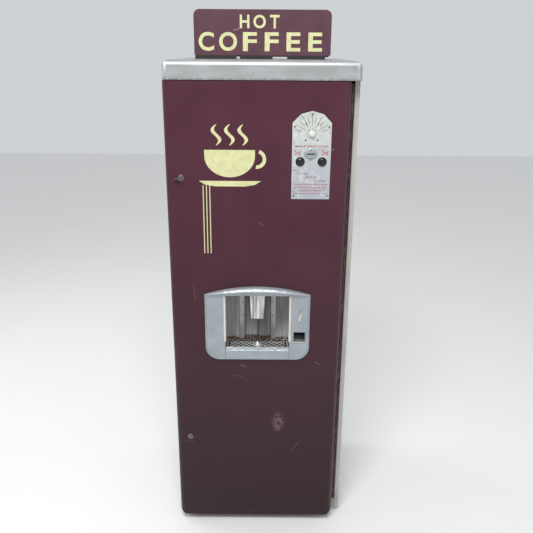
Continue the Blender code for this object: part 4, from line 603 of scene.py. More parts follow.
class VendingSizes(bpy.types.PropertyGroup):
    """What a user would change about the finished look."""

    drop_x: FloatProperty(
        name="Cup centre", description="Where the cup stands, across the machine", unit="LENGTH",
        default=-0.0125)
    edge: FloatProperty(
        name="Sheet edge", description="Rounding on the edges of the sheet metal", unit="LENGTH",
        default=0.0007)
    cast_edge: FloatProperty(
        name="Casting edge", description="Rounding on the edges of the castings", default=0.0016, unit="LENGTH")
    letter_height: FloatProperty(
        name="Sign letters", description="Height of the lower word on the sign", default=0.061, unit="LENGTH")
    upper_word: StringProperty(name="Upper word", description="First word on the sign", default="HOT")
    lower_word: StringProperty(name="Lower word", description="Second word on the sign", default="COFFEE")
    price: StringProperty(name="Price", description="Price printed by the two buttons", default="5¢")
    stripes: IntProperty(name="Pinstripes", description="Upright stripes under the emblem", default=3, min=1)
    mesh_pitch: FloatProperty(
        name="Drip mesh pitch", description="Side of one diamond in the drip grille", unit="LENGTH",
        default=0.0140)
    mesh_wire: FloatProperty(
        name="Drip mesh strand", description="Radius of a strand in the drip grille", unit="LENGTH",
        default=0.0016)
    knuckles: IntProperty(name="Hinge knuckles", description="Knuckles up the whole hinge", default=65, min=3)
    louvres: IntProperty(name="Louvres", description="Louvres in each group on the back", default=9, min=1)
    cups: IntProperty(name="Cups", description="Paper cups in each tube", default=26, min=1)


# ---------------------------------------------------------------- shapes


def node_span(node):
    """How far a node reaches: its lowest and highest x, y and z, as three pairs."""
    low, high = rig.box(node)
    return (low.x, high.x), (low.y, high.y), (low.z, high.z)


DOOR_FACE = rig.box("door_skin")[0].y
BEZEL_FACE = DOOR_FACE - 0.006  # front of the cup station's casting
BEZEL_CORNER = 0.05  # radius of its lower corners
BEZEL_SHOULDER = 0.978  # where its bowed top edge starts at each side
HOOD_RISE = 0.029  # how far that edge rises at the middle
HOOD_TURN = 64  # degrees of curve from the hood's top to its lip
WINDOW_TOP = 0.973
RIM_RADIUS, RIM_INSET = 0.0022, 0.0035  # the bead round the casting
LEVER_PIVOT = (0.140, 0.897)
LEVER_LEAN = -8  # degrees
SHROUD_WALL = 0.0014
CONE_RISE = 0.006  # the cone's peak above its node
INK = 0.0002  # thickness of the plate's print
FAN_RADIUS = 0.0725  # selector plate's top, about the pointer
CURVED = math.radians(50)  # shading angle of cast curves
TURRET_Y, TUBE_CIRCLE = 0.060, 0.085  # the turret's axis, and its tubes' centres about it
STUDIO = 9.0  # half the floor
LENS, TILT, ROLL = 41.95, 19.19, 0.41  # millimetres and degrees


def loft(mesh, loops, closed=False):
    """Faces between loops of equal length, capped at both ends unless the last loop joins the first."""
    rings = [[mesh.verts.new(point) for point in loop] for loop in loops]
    pairs = list(zip(rings, rings[1:])) + ([(rings[-1], rings[0])] if closed else [])
    for first, second in pairs:
        for i in range(len(first)):
            j = (i + 1) % len(first)
            mesh.faces.new((first[i], first[j], second[j], second[i]))
    if not closed:
        mesh.faces.new(rings[0][::-1])
        mesh.faces.new(rings[-1])
    return mesh


def prism(mesh, outline, front, back):
    """A flat shape drawn in x and z, between two y places."""
    return loft(mesh, [[(x, y, z) for x, z in outline] for y in (front, back)])


def block(mesh, x, y, z):
    return prism(mesh, [(x[0], z[0]), (x[1], z[0]), (x[1], z[1]), (x[0], z[1])], *y)


def arc(centre, radius, steps, start, sweep):
    """Points on an arc, in degrees; the last one is left out of a full circle."""
    count = steps if abs(sweep) >= 360 else steps + 1
    angles = [math.radians(start + sweep * i / steps) for i in range(count)]
    return [(centre[0] + radius * math.cos(a), centre[1] + radius * math.sin(a)) for a in angles]


def lathe(mesh, profile, centre, steps=40, axis="y"):
    """A profile of (radius, place along the axis), which starts and ends on the axis, turned about it."""
    loops = []
    for radius, along in profile:
        ring = arc(centre, max(radius, 0.00002), steps, 0, 360)
        loops.append([(u, along, v) if axis == "y" else (u, v, along) for u, v in ring])
    return loft(mesh, loops)


def rounded(x, z, radii, steps=10):
    """A rectangle with its own radius at each corner, from the lower left and round to the right."""
    corners = (
        (x[0], z[0], 1, 1, 180), (x[1], z[0], -1, 1, 270), (x[1], z[1], -1, -1, 0), (x[0], z[1], 1, -1, 90),
    )
    points = []
    for (u, v, to_x, to_z, start), radius in zip(corners, radii):
        points += arc((u + to_x * radius, v + to_z * radius), radius, steps, start, 90) if radius else [(u, v)]
    return points


def tube(mesh, path, radius, sides=10):
    """A round bar along a path of points."""
    loops, points = [], [Vector(p) for p in path]
    for i, point in enumerate(points):
        ahead = (points[min(i + 1, len(points) - 1)] - points[max(i - 1, 0)]).normalized()
        side = ahead.cross((0, 1, 0) if abs(ahead.y) < 0.9 else (0, 0, 1)).normalized()
        other = ahead.cross(side)
        loops.append([point + side * (radius * math.cos(a)) + other * (radius * math.sin(a))
                      for a in (2 * math.pi * k / sides for k in range(sides))])
    return loft(mesh, loops)


def as_object(mesh, name):
    data = bpy.data.meshes.new(name)
    bmesh.ops.recalc_face_normals(mesh, faces=mesh.faces)
    mesh.to_mesh(data)
    mesh.free()
    made = bpy.data.objects.new(name, data)
    bpy.context.scene.collection.objects.link(made)
    return made


def applied(obj):
    """Replaces the object's mesh by what its modifiers make of it."""
    graph = bpy.context.evaluated_depsgraph_get()
    graph.update()
    data = bpy.data.meshes.new_from_object(obj.evaluated_get(graph))
    obj.modifiers.clear()
    obj.data = data
    return obj


def cut(obj, *shapes):
    """Cuts meshes out of an object."""
    for shape in shapes:
        tool = as_object(shape, "cutter")
        modifier = obj.modifiers.new("cut", "BOOLEAN")
        modifier.operation, modifier.solver, modifier.object = "DIFFERENCE", "EXACT", tool
        applied(obj)
        bpy.data.objects.remove(tool)
    return obj


def settle(obj, material, body, slot, *replaced, bevel=0.0, segments=2, angle=SMOOTH):
    """Gives a finished piece its rounding, shading, finish, body and slot."""
    if bevel:
        edge = obj.modifiers.new("edge", "BEVEL")
        edge.width, edge.segments, edge.limit_method, edge.angle_limit = bevel, segments, "ANGLE", math.radians(
            38
        )
        edge.use_clamp_overlap = True
        applied(obj)
    if material:
        obj.data.materials.clear()
        obj.data.materials.append(finish(material))
    obj.data.shade_smooth()
    obj.data.set_sharp_from_angle(angle=angle)
    if bevel:
        even = obj.modifiers.new("even", "WEIGHTED_NORMAL")
        even.keep_sharp, even.weight = True, 100
        applied(obj)
    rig.ride(obj, body)
    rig.slot(obj, slot)
    if replaced:
        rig.replaces(obj, *replaced)
    return obj


def piece(name, mesh, material, body, slot, *replaced, **looks):
    return settle(as_object(mesh, name), material, body, slot, *replaced, **looks)


def node_body(node):
    return next(name for name, members in frame["record"]["behaviour"]["bodies"].items() if node in members)


def node_slot(node):
    return next(row["material_slot"] for row in frame["record"]["subparts"] if row["node"] == node)


def fine_copy(node, name, material, bevel):
    """A copy of a node with its triangles merged, its edges rounded and its curves shaded smooth."""
    mesh = bmesh.new()
    mesh.from_mesh(frame["nodes"][node].data)
    bmesh.ops.remove_doubles(mesh, verts=mesh.verts, dist=0.00001)
    flat = {"angle_limit": math.radians(0.5), "verts": mesh.verts, "edges": mesh.edges}
    bmesh.ops.dissolve_limit(mesh, **flat)
    return piece(name, mesh, material, node_body(node), node_slot(node), node, bevel=bevel)


def recoat(node, material):
    """Gives a carried-over node its procedural finish."""
    obj = frame["nodes"][node]
    obj.data.materials.clear()
    obj.data.materials.append(finish(material))
    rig.slot(obj, node_slot(node))


# ---------------------------------------------------------------- what repeats


class Tree(Graph):
    """A Geometry Nodes tree that is being written, with named inputs and one mesh out."""

    def __init__(self, name, inputs):
        tree = bpy.data.node_groups.new(name, "GeometryNodeTree")
        super().__init__(tree)
        tree.interface.new_socket("Geometry", in_out="INPUT", socket_type="NodeSocketGeometry")
        for label, kind in inputs:
            tree.interface.new_socket(label, in_out="INPUT", socket_type=f"NodeSocket{kind}")
        tree.interface.new_socket("Geometry", in_out="OUTPUT", socket_type="NodeSocketGeometry")
        self.inputs = self.tree.nodes.new("NodeGroupInput")

    def given(self, label):
        return Wire(self, self.inputs.outputs[label])

    def end(self, shape, material):
        """Realises the instances and sets their material."""
        shape = self.node("GeometryNodeRealizeInstances", values=[shape])
        shape = self.node("GeometryNodeSetMaterial", values={"Geometry": shape, "Material": material})
        self.node("NodeGroupOutput", values=[shape])
        return self.tree


def grown(name, tree, inputs, points=()):
    """A plain mesh object from a tree, over a mesh of points, with the tree's inputs set by their names."""
    data = bpy.data.meshes.new(name)
    data.from_pydata([tuple(p) for p in points], [], [])
    obj = bpy.data.objects.new(name, data)
    bpy.context.scene.collection.objects.link(obj)
    modifier = obj.modifiers.new("grown", "NODES")
    modifier.node_group = tree
    places = {item.name: item.identifier for item in tree.interface.items_tree if item.in_out == "INPUT"}
    for label, value in inputs.items():
        modifier[places[label]] = value
    return applied(obj)


def tree_on_points():
    """One piece on every point given."""
    t = Tree("one_on_each_point", [("Piece", "Object"), ("Finish", "Material")])
    shape = t.node("GeometryNodeObjectInfo", values={"Object": t.given("Piece")}, output="Geometry")
    points = t.node("GeometryNodeMeshToPoints", values={"Mesh": t.given("Geometry")})
    copies = t.node("GeometryNodeInstanceOnPoints", values={"Points": points, "Instance": shape})
    return t.end(copies, t.given("Finish"))


def tree_in_row():
    """A piece repeated at even steps along a line."""
    t = Tree("row_of_pieces", [("Piece", "Object"), ("Count", "Int"), ("Start", "Vector"), ("Step", "Vector"),
                               ("Finish", "Material")])
    shape = t.node("GeometryNodeObjectInfo", values={"Object": t.given("Piece")}, output="Geometry")
    line = t.node("GeometryNodeMeshLine", {"mode": "OFFSET"},
                  {"Count": t.given("Count"), "Start Location": t.given("Start"), "Offset": t.given("Step")})
    copies = t.node("GeometryNodeInstanceOnPoints", values={"Points": line, "Instance": shape})
    return t.end(copies, t.given("Finish"))


def tree_of_diamonds():
    """Expanded metal: a turned grid kept inside a rectangle, with a round strand along each edge."""
    t = Tree("diamond_mesh", [("Width", "Float"), ("Depth", "Float"), ("Pitch", "Float"), ("Strand", "Float"),
                              ("Centre", "Vector"), ("Hole", "Float"), ("Finish", "Material")])
    width, depth, pitch = t.given("Width"), t.given("Depth"), t.given("Pitch")
    side = (width * width + depth * depth) ** 0.5
    count = (side / pitch).maths("ROUND")
    grid = t.node("GeometryNodeMeshGrid", values={"Size X": side, "Size Y": side, "Vertices X": count,
                                                  "Vertices Y": count})
    turned = t.node(
        "GeometryNodeTransform", values={"Geometry": grid, "Rotation": (0.0, 0.0, math.radians(45))},
    )
    place = t.node("GeometryNodeInputPosition")
    x, y = [t.node("ShaderNodeSeparateXYZ", values=[place], output=i) for i in range(2)]
    outside = abs(x).maths("GREATER_THAN", width / 2).maths("MAXIMUM", abs(y).maths("GREATER_THAN", depth / 2))
    outside = outside.maths("MAXIMUM", (x * x + y * y).maths("LESS_THAN", t.given("Hole") * t.given("Hole")))
    kept = t.node("GeometryNodeDeleteGeometry", {"domain": "POINT"}, {"Geometry": turned, "Selection": outside})
    lines = t.node("GeometryNodeMeshToCurve", values=[kept])
    ring = t.node(
        "GeometryNodeCurvePrimitiveCircle", {"mode": "RADIUS"}, {"Resolution": 5, "Radius": t.given("Strand")},
    )
    strands = t.node("GeometryNodeCurveToMesh", values={"Curve": lines, "Profile Curve": ring})
    moved = t.node("GeometryNodeTransform", values={"Geometry": strands, "Translation": t.given("Centre")})
    return t.end(moved, t.given("Finish"))


TREES = {}


def tree(maker):
    """Each tree is written once."""
    if maker not in TREES:
        TREES[maker] = maker()
    return TREES[maker]


def on_points(name, pattern, points, material, body, slot):
    """Copies of a pattern, drawn about the origin, on a list of points."""
    tool = as_object(pattern, "pattern")
    inputs = {"Piece": tool, "Finish": finish(material)}
    made = grown(name, tree(tree_on_points), inputs, points)
    bpy.data.objects.remove(tool)
    return settle(made, None, body, slot)


def in_row(name, pattern, count, start, step, material, body, slot):
    """Copies of a pattern, drawn about the origin, at even steps."""
    tool = as_object(pattern, "pattern")
    inputs = {"Piece": tool, "Count": count, "Start": start, "Step": step, "Finish": finish(material)}
    made = grown(name, tree(tree_in_row), inputs)
    bpy.data.objects.remove(tool)
    return settle(made, None, body, slot)


def screw_head(radius, rise):
    """A domed head with a slot, facing -Y, about the origin."""
    mesh = lathe(bmesh.new(), [(0, 0.0006), (radius, 0.0006), (radius, -rise * 0.25),
                               (radius * 0.86, -rise * 0.7),
                               (radius * 0.5, -rise * 0.96), (0, -rise)], (0, 0), 20)
    head = as_object(mesh, "head")
    cut(
        head,
        block(
            bmesh.new(), (-radius * 1.1, radius * 1.1), (-rise * 1.3, -rise * 0.35),
            (-radius * 0.14, radius * 0.14),
        ),
    )
    mesh = bmesh.new()
    mesh.from_mesh(head.data)
    bpy.data.objects.remove(head)
    return mesh


# ---------------------------------------------------------------- lettering


def lettering(mesh, text, centre, height, width=None, front=0.0, thickness=0.0004, weight=0.0, turn=0.0):
    """Adds plain block letters to a mesh, about an (x, z) place, squeezed to a width if one is given."""
    curve = bpy.data.curves.new("letters", "FONT")
    curve.body, curve.size, curve.offset, curve.resolution_u = text, 1.0, weight, 4
    curve.fill_mode = "FRONT"
    made = bpy.data.objects.new("letters", curve)
    bpy.context.scene.collection.objects.link(made)
    graph = bpy.context.evaluated_depsgraph_get()
    graph.update()
    flat = bpy.data.meshes.new_from_object(made.evaluated_get(graph))
    bpy.data.objects.remove(made)
    letters = bmesh.new()
    letters.from_mesh(flat)
    bmesh.ops.remove_doubles(letters, verts=letters.verts, dist=0.0001)
    xs, ys = [v.co.x for v in letters.verts], [v.co.y for v in letters.verts]
    scale = height / (max(ys) - min(ys))
    wide = (width / (max(xs) - min(xs))) if width else scale
    middle = ((max(xs) + min(xs)) / 2, (max(ys) + min(ys)) / 2)
    extruded = bmesh.ops.extrude_face_region(letters, geom=letters.faces[:])["geom"]
    rear = {item for item in extruded if isinstance(item, bmesh.types.BMVert)}
    sine, cosine = math.sin(turn), math.cos(turn)
    for vert in letters.verts:
        u, v = (vert.co.x - middle[0]) * wide, (vert.co.y - middle[1]) * scale
        depth = front - thickness if vert not in rear else front + 0.0001
        vert.co = (centre[0] + u * cosine - v * sine, depth, centre[1] + u * sine + v * cosine)
    bmesh.ops.recalc_face_normals(letters, faces=letters.faces)
    flat.clear_geometry()
    letters.to_mesh(flat)
    letters.free()
    mesh.from_mesh(flat)
    bpy.data.meshes.remove(flat)
    return mesh


# ---------------------------------------------------------------- cabinet


def build_cabinet(s):
    for side in ("left", "right"):
        fine_copy(f"side_panel_{side}", f"cabinet_side_{side}", "grey_paint", s.edge)
    fine_copy("base_pan", "cabinet_floor_pan", "grey_paint", s.edge)
    fine_copy("back_panel", "cabinet_back", "grey_paint", 0)
    fine_copy("crown_top", "crown", "crown_metal", 0.0010)
    fine_copy("service_plate", "service_fittings", "brass_fitting", 0.0004)
    x, y, z = node_span("back_panel")
    for group, middle in (("upper", z[1] - 0.180), ("lower", z[0] + 0.420)):
        slat = lathe(
            bmesh.new(), [(0, -0.085), (0.0060, -0.083), (0.0068, 0), (0.0060, 0.083), (0, 0.085)], (0, 0), 20,
            "z",
        )
        for vert in slat.verts:
            vert.co = (vert.co.z, max(vert.co.y, 0.0), vert.co.x * 1.3 if vert.co.x < 0 else vert.co.x * 0.5)
        start = (-0.110, y[1] - 0.0001, middle)
        in_row(
            f"louvres_{group}", slat, s.louvres, start, (0.0, 0.0, -0.022), "grey_paint", "cabinet",
            "cabinet_paint",
        )
    heads = [
        (u, y[1], v) for v in (z[0] + 0.02, 0.5, 0.95, 1.4, z[1] - 0.02) for u in (x[0] + 0.012, x[1] - 0.012)
    ]
    head = screw_head(0.0045, 0.0016)
    bmesh.ops.rotate(head, matrix=Matrix.Rotation(math.pi, 3, "Z"), verts=head.verts)
    on_points("back_screws", head, heads, "dull_steel", "cabinet", "zinc")
    for number in range(1, 5):
        node = f"levelling_foot_{number}"
        (x0, x1), (y0, y1), (_, z1) = node_span(node)
        centre, r = ((x0 + x1) / 2, (y0 + y1) / 2), (x1 - x0) / 2
        profile = [(0, 0), (r - 0.003, 0), (r - 0.001, 0.001), (r, 0.004), (r, 0.007), (r - 0.002, 0.009),
                   (0.011, 0.012), (0.010, 0.016), (0.0055, 0.0165)]
        for turn in range(12):
            low = 0.0175 + turn * (z1 - 0.0195) / 12
            profile += [(0.0050, low), (0.0056, low + 0.0008)]
        profile += [(0.005, z1 - 0.0005), (0, z1)]
        piece(
            f"foot_{number}", lathe(bmesh.new(), profile, centre, 40, "z"), "dull_steel", "cabinet", "zinc",
            node,
        )


# ---------------------------------------------------------------- sign


def build_sign(s):
    (x0, x1), (y0, y1), (z0, z1) = node_span("sign_panel")
    outline = rounded((x0, x1), (z0, z1), (0.003, 0.003, 0.020, 0.020), 12)
    piece("sign_face", prism(bmesh.new(), outline, y0, y1), "sign_enamel", "cabinet", "sign_face", "sign_panel",
          bevel=0.0006)
    fine_copy("sign_bracket", "sign_feet", "black_paint", s.edge)
    words = bmesh.new()
    width, centre = x1 - x0, (x0 + x1) / 2
    upper = (s.upper_word, centre - 0.010, s.letter_height * 0.70, 0.1085, width * 0.109)
    lower = (s.lower_word, centre - 0.006, s.letter_height, 0.0445, width * 0.159)
    for word, middle, height, low, pitch in (upper, lower):
        for place, letter in enumerate(word):
            share = {"O": 0.83, "C": 0.71}.get(letter, 0.64)  # round letters are wider
            u = middle + (place - (len(word) - 1) / 2) * pitch
            lettering(words, letter, (u, z0 + low), height, pitch * share, y0, 0.0005, 0.024)
    piece("sign_letters", words, "cream_paint", "cabinet", "sign_face")


# ---------------------------------------------------------------- door


def cup_emblem(mesh, centre, size, front, thickness=0.0004):
    """A plain cup on a saucer with three wisps of steam, from flat shapes side by side."""
    u, v = centre

    def flat(points):
        prism(mesh, [(u + a * size, v + b * size) for a, b in points], front - thickness, front + 0.0001)

    turns = [math.pi * k / 24 for k in range(1, 24)]
    bowl = [(-0.50 * math.cos(t), -0.42 * math.sin(t) + 0.04) for t in turns]
    flat([(-0.50, 0.10), *bowl, (0.50, 0.10), (0.50, 0.16), (-0.50, 0.16)])
    flat([(-0.62, -0.455), (0.62, -0.455), (0.50, -0.53), (0.30, -0.565), (-0.30, -0.565), (-0.50, -0.53)])
    ear = (0.53, -0.02)
    flat(arc(ear, 0.19, 20, 72, -168) + arc(ear, 0.12, 20, -92, 164))
    for shift in (-0.26, 0.0, 0.26):
        left, right = [], []
        for k in range(25):
            t = k / 24
            middle, half = shift + 0.07 * math.sin(t * 2 * math.pi), 0.012 + 0.030 * math.sin(math.pi * t)
            left.append((middle - half, 0.25 + t * 0.40))
            right.append((middle + half, 0.25 + t * 0.40))
        flat(left + right[::-1])


def build_door(s):
    fine_copy("door_skin", "door_outer_sheet", "door_enamel", s.edge)
    fine_copy("door_liner", "door_inner_sheet", "zinc_plate", 0)
    emblem = bmesh.new()
    cup_emblem(emblem, (-0.104, 1.4555), 0.166, DOOR_FACE)
    piece("door_emblem", emblem, "cream_paint", "door", "door_paint")
    stripe = prism(
        bmesh.new(), [(-0.0016, -0.118), (0.0016, -0.118), (0.0016, 0.118), (-0.0016, 0.118)], -0.0003, 0.0001,
    )
    start = (-0.1935, DOOR_FACE, 1.2465)
    in_row("door_pinstripes", stripe, s.stripes, start, (0.011, 0.0, 0.0), "cream_paint", "door", "door_paint")
    for node, first, body in (("hinge_leaf_cabinet", 0, "cabinet"), ("hinge_leaf_door", 1, "door")):
        (x0, x1), (y0, y1), (z0, z1) = node_span(node)
        px, py, _ = [sum(span) / 2 for span in node_span("hinge_pin")]
        pitch = (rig.box("hinge_pin")[1].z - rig.box("hinge_pin")[0].z) / s.knuckles
        count = (s.knuckles - first + 1) // 2
        barrel = lathe(bmesh.new(), [(0, 0.0003), (0.0031, 0.0003), (0.0034, 0.0007), (0.0034, pitch - 0.0007),
                                     (0.0031, pitch - 0.0003), (0, pitch - 0.0003)], (0, 0), 20, "z")
        start = (px, py, z0 + first * pitch)
        in_row(
            f"{node}_knuckles", barrel, count, start, (0.0, 0.0, 2 * pitch), "hinge_paint", body, "hinge_steel",
        )
        leaf = bmesh.new()
        if first:
            block(leaf, (x0, x0 + 0.0015), (y0, y1), (z0, z1))
            block(leaf, (x0, px - 0.0029), (py - 0.0034, py - 0.0019), (z0, z1))
        else:
            block(leaf, (x1 - 0.0015, x1), (y0, y1), (z0, z1))
            block(leaf, (px + 0.0029, x1), (py + 0.0019, py + 0.0034), (z0, z1))
        piece(f"{node}_sheet", leaf, "hinge_paint", body, "hinge_steel", node, bevel=0.0003)
    recoat("hinge_pin", "dull_steel")


def build_locks():
    for level in ("upper", "lower"):
        (x0, x1), (y0, y1), (z0, z1) = node_span(f"lock_housing_{level}")
        x, z, r = (x0 + x1) / 2, (z0 + z1) / 2, (x1 - x0) / 2
        profile = [(0.0062, y0 + 0.003), (0.0062, y0 + 0.0002), (0.0090, y0), (r - 0.0008, y0 + 0.0006),
                   (r, y0 + 0.0018),
                   (r, DOOR_FACE), (0.008, DOOR_FACE), (0.008, y1), (0.0062, y1)]
        loops = [[(u, y, v) for u, v in arc((x, z), radius, 48, 0, 360)] for radius, y in profile]
        piece(f"lock_{level}_ring", loft(bmesh.new(), loops, closed=True), "dull_steel", "door", "chrome",
              f"lock_housing_{level}")
        (u0, _), (v0, v1), (_, w1) = node_span(f"lock_plug_{level}")
        face = y0 - 0.0003
        profile = [(0, face - 0.0022), (0.0078, face - 0.0020), (0.0084, face - 0.0012), (0.0084, face),
                   (0.0058, face), (0.0058, v1), (0, v1)]
        core = as_object(lathe(bmesh.new(), profile, (x, z), 40), f"lock_{level}_plug")
        deep = (face - 0.004, face - 0.0010)
        cut(core, block(bmesh.new(), (x - 0.0042, x + 0.0042), deep, (z - 0.0008, z + 0.0008)),
            block(bmesh.new(), (x - 0.0011, x + 0.0011), deep, (z - 0.0022, z + 0.0022)))
        mesh = bmesh.new()
        mesh.from_mesh(core.data)
        bpy.data.objects.remove(core)
        cam_y = v1 - 0.006
        cam = arc((x, z), 0.0085, 20, 180, 180) + arc((x, w1 - 0.0085), 0.0085, 20, 0, 180)
        prism(mesh, cam, cam_y, cam_y + 0.002)
        lathe(
            mesh, [(0, cam_y + 0.002), (0.0062, cam_y + 0.002), (0.0062, v1 - 0.0012), (0.005, v1), (0, v1)],
            (x, z), 6,
        )
        if level == "upper":
            wing = rounded((u0, x + 0.005), (z - 0.0013, z + 0.0013), (0.0012,) * 4, 4)
            prism(mesh, wing, v0, face - 0.001)
        piece(
            f"lock_{level}_core", mesh, "dull_steel", f"{level}_lock", "chrome", f"lock_plug_{level}",
            bevel=0.0002,
        )


# ---------------------------------------------------------------- cup station


def hood_arc(t, x0, x1):
    """Height of the bezel's top edge, a share of the way across."""
    half = (x1 - x0) / 2
    radius = (half * half + HOOD_RISE * HOOD_RISE) / (2 * HOOD_RISE)
    return BEZEL_SHOULDER + HOOD_RISE - radius + math.sqrt(radius * radius - ((2 * t - 1) * half) ** 2)


def build_bezel(s):
    (x0, x1), (y0, _), (z0, _) = node_span("delivery_bezel")
    (a0, a1), _, (b0, b1) = node_span("tray_apron")
    left, right, low = a0 - 0.0008, a1 + 0.0008, b0 - 0.0005
    face, low_corner = BEZEL_FACE, z0 + BEZEL_CORNER
    crest = [(x0 + (x1 - x0) * t, hood_arc(t, x0, x1)) for t in (1 - k / 40 for k in range(41))]
    outline = arc((x0 + BEZEL_CORNER, low_corner), BEZEL_CORNER, 14, 180, 90)
    outline += arc((x1 - BEZEL_CORNER, low_corner), BEZEL_CORNER, 14, 270, 90) + crest
    plate = as_object(prism(bmesh.new(), outline, face, DOOR_FACE - 0.0003), "station_bezel")
    (c0, c1), _, (d0, d1) = node_span("coin_return_cup")
    through = (face - 0.01, DOOR_FACE + 0.01)
    pocket = rounded((c0 - 0.0003, c1 + 0.0003), (d0 - 0.0003, d1 + 0.0003), (0.004,) * 4, 6)
    bore = [(0, through[0]), (0.0045, through[0]), (0.0045, through[1]), (0, through[1])]
    cut(plate, block(bmesh.new(), (left, right), through, (low, WINDOW_TOP)),
        prism(bmesh.new(), pocket, *through),
        lathe(bmesh.new(), bore, LEVER_PIVOT, 24))
    settle(plate, "hammered", "door", "cast_metal", "delivery_bezel", bevel=s.cast_edge, segments=3)
    rim, front = bmesh.new(), face - 0.0006
    for corner, side in ((x0, 1), (x1, -1)):
        edge = arc((corner + side * BEZEL_CORNER, low_corner), BEZEL_CORNER - RIM_INSET, 14, 270, -90 * side)
        edge += [(corner + side * RIM_INSET, v) for v in (0.80, 0.90, 0.970)]
        tube(rim, [(u, front, v) for u, v in edge], RIM_RADIUS, 8)
    for span in ((x0 + BEZEL_CORNER, left - 0.004), (right + 0.004, x1 - BEZEL_CORNER)):
        tube(rim, [(u, front, z0 + RIM_INSET) for u in span], RIM_RADIUS, 8)
    piece("station_bezel_rim", rim, "hammered", "door", "cast_metal")
    loops, steps, last = [], 72, math.radians(HOOD_TURN)
    for k in range(steps + 1):
        t = k / steps
        x, high = x0 + 0.0008 + (x1 - x0 - 0.0016) * t, hood_arc(t, x0, x1) - 0.0004
        bow = 0.0180 * (1 - (2 * t - 1) ** 2) ** 1.2
        lip = BEZEL_SHOULDER - 0.003 + bow
        swell = (1 - abs(2 * t - 1) ** 2.6) ** 0.8 if 0 < t < 1 else 0.0
        reach = 0.0012 + (face - y0 - 0.0012) * swell
        back = DOOR_FACE - 0.0004
        ring = [(x, back, high)]
        for j in range(13):
            angle = math.radians(HOOD_TURN * j / 12)
            fall = (math.cos(angle) - math.cos(last)) / (1 - math.cos(last))
            out = reach * math.sin(angle) / math.sin(last)
            ring.append((x, face - out, lip + 0.0012 + (high - lip - 0.0012) * fall))
        ring += [
            (x, face - reach + 0.0003, lip), (x, face - reach + 0.0022, lip - 0.0002), (x, back, lip + 0.0035),
        ]
        loops.append(ring)
    piece("station_hood", loft(bmesh.new(), loops), "hammered", "door", "cast_metal", angle=CURVED)
    trims, notches = bmesh.new(), bmesh.new()
    for u in ((left - 0.0045, left + 0.0020), (right - 0.0020, right + 0.0045)):
        block(trims, u, (face - 0.0009, DOOR_FACE + 0.004), (b1 + 0.024, WINDOW_TOP - 0.002))
        block(notches, u, (face + 0.0012, DOOR_FACE + 0.003), (b1 + 0.010, b1 + 0.0235))
    piece("window_trims", trims, "pale_trim", "door", "ivory_plastic", bevel=0.0010)
    # The notches take the near-black gap finish: painted shade in the recess under each trim.
    piece("window_trim_notches", notches, "dark_gap", "door", "black_plastic", bevel=0.0004)


def build_station(s):
    build_bezel(s)
    fine_copy("chamber_liner", "chamber", "chamber_steel", 0)
    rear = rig.box("chamber_liner")[1].y
    main_back = rear - 0.015 - 0.0015
    strips, places = bmesh.new(), []
    low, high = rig.box("drip_grille")[0].z + 0.004, 1.006
    for side, u in ((-1, -0.061), (1, 0.036)):
        inner, outer = sorted((u + side * 0.0010, u + side * 0.0190))
        block(strips, (inner, outer), (main_back - 0.0018, main_back - 0.0002), (low, high))
        places += [(u + side * 0.0065, main_back - 0.0020, v) for v in (0.854, 0.908)]
    piece("chamber_strips", strips, "stainless", "door", "stainless", bevel=0.0005)
    on_points("chamber_screws", screw_head(0.0023, 0.0012), places, "dark_screw", "door", "stainless")
    # Thin near-black strips along the recess edges: painted shade in the folds.
    folds = bmesh.new()
    for u in (-0.0612, 0.0352):
        block(folds, (u, u + 0.0010), (main_back - 0.0006, rear - 0.003), (low, high))
    piece("chamber_folds", folds, "dark_gap", "door", "stainless")
    build_shroud()
    build_tray(s)


def build_shroud():
    (x0, x1), (y0, y1), (z0, z1) = node_span("nozzle_shroud")
    middle, half_top, half_low = (x0 + x1) / 2, (x1 - x0) / 2, 0.0225

    def ring(z, inset):
        t = (z - z0) / (z1 - z0)
        half = half_low + (half_top - half_low) * t - inset
        back = y1 - 0.008 * (1 - t) - inset
        flat = rounded((middle - half, middle + half), (y0 + inset, back), (0.004,) * 4, 5)
        return [(u, v, z) for u, v in flat]

    levels = [z0 + (z1 - z0) * k / 10 for k in range(11)]
    outside = [ring(z, 0.0) for z in levels[::-1]]
    inside = [ring(z0, SHROUD_WALL)] + [ring(z, SHROUD_WALL) for z in levels[1:]]
    piece("shroud", loft(bmesh.new(), outside + inside, closed=True), "shroud_metal", "door", "cast_metal",
          "nozzle_shroud", bevel=0.0004)


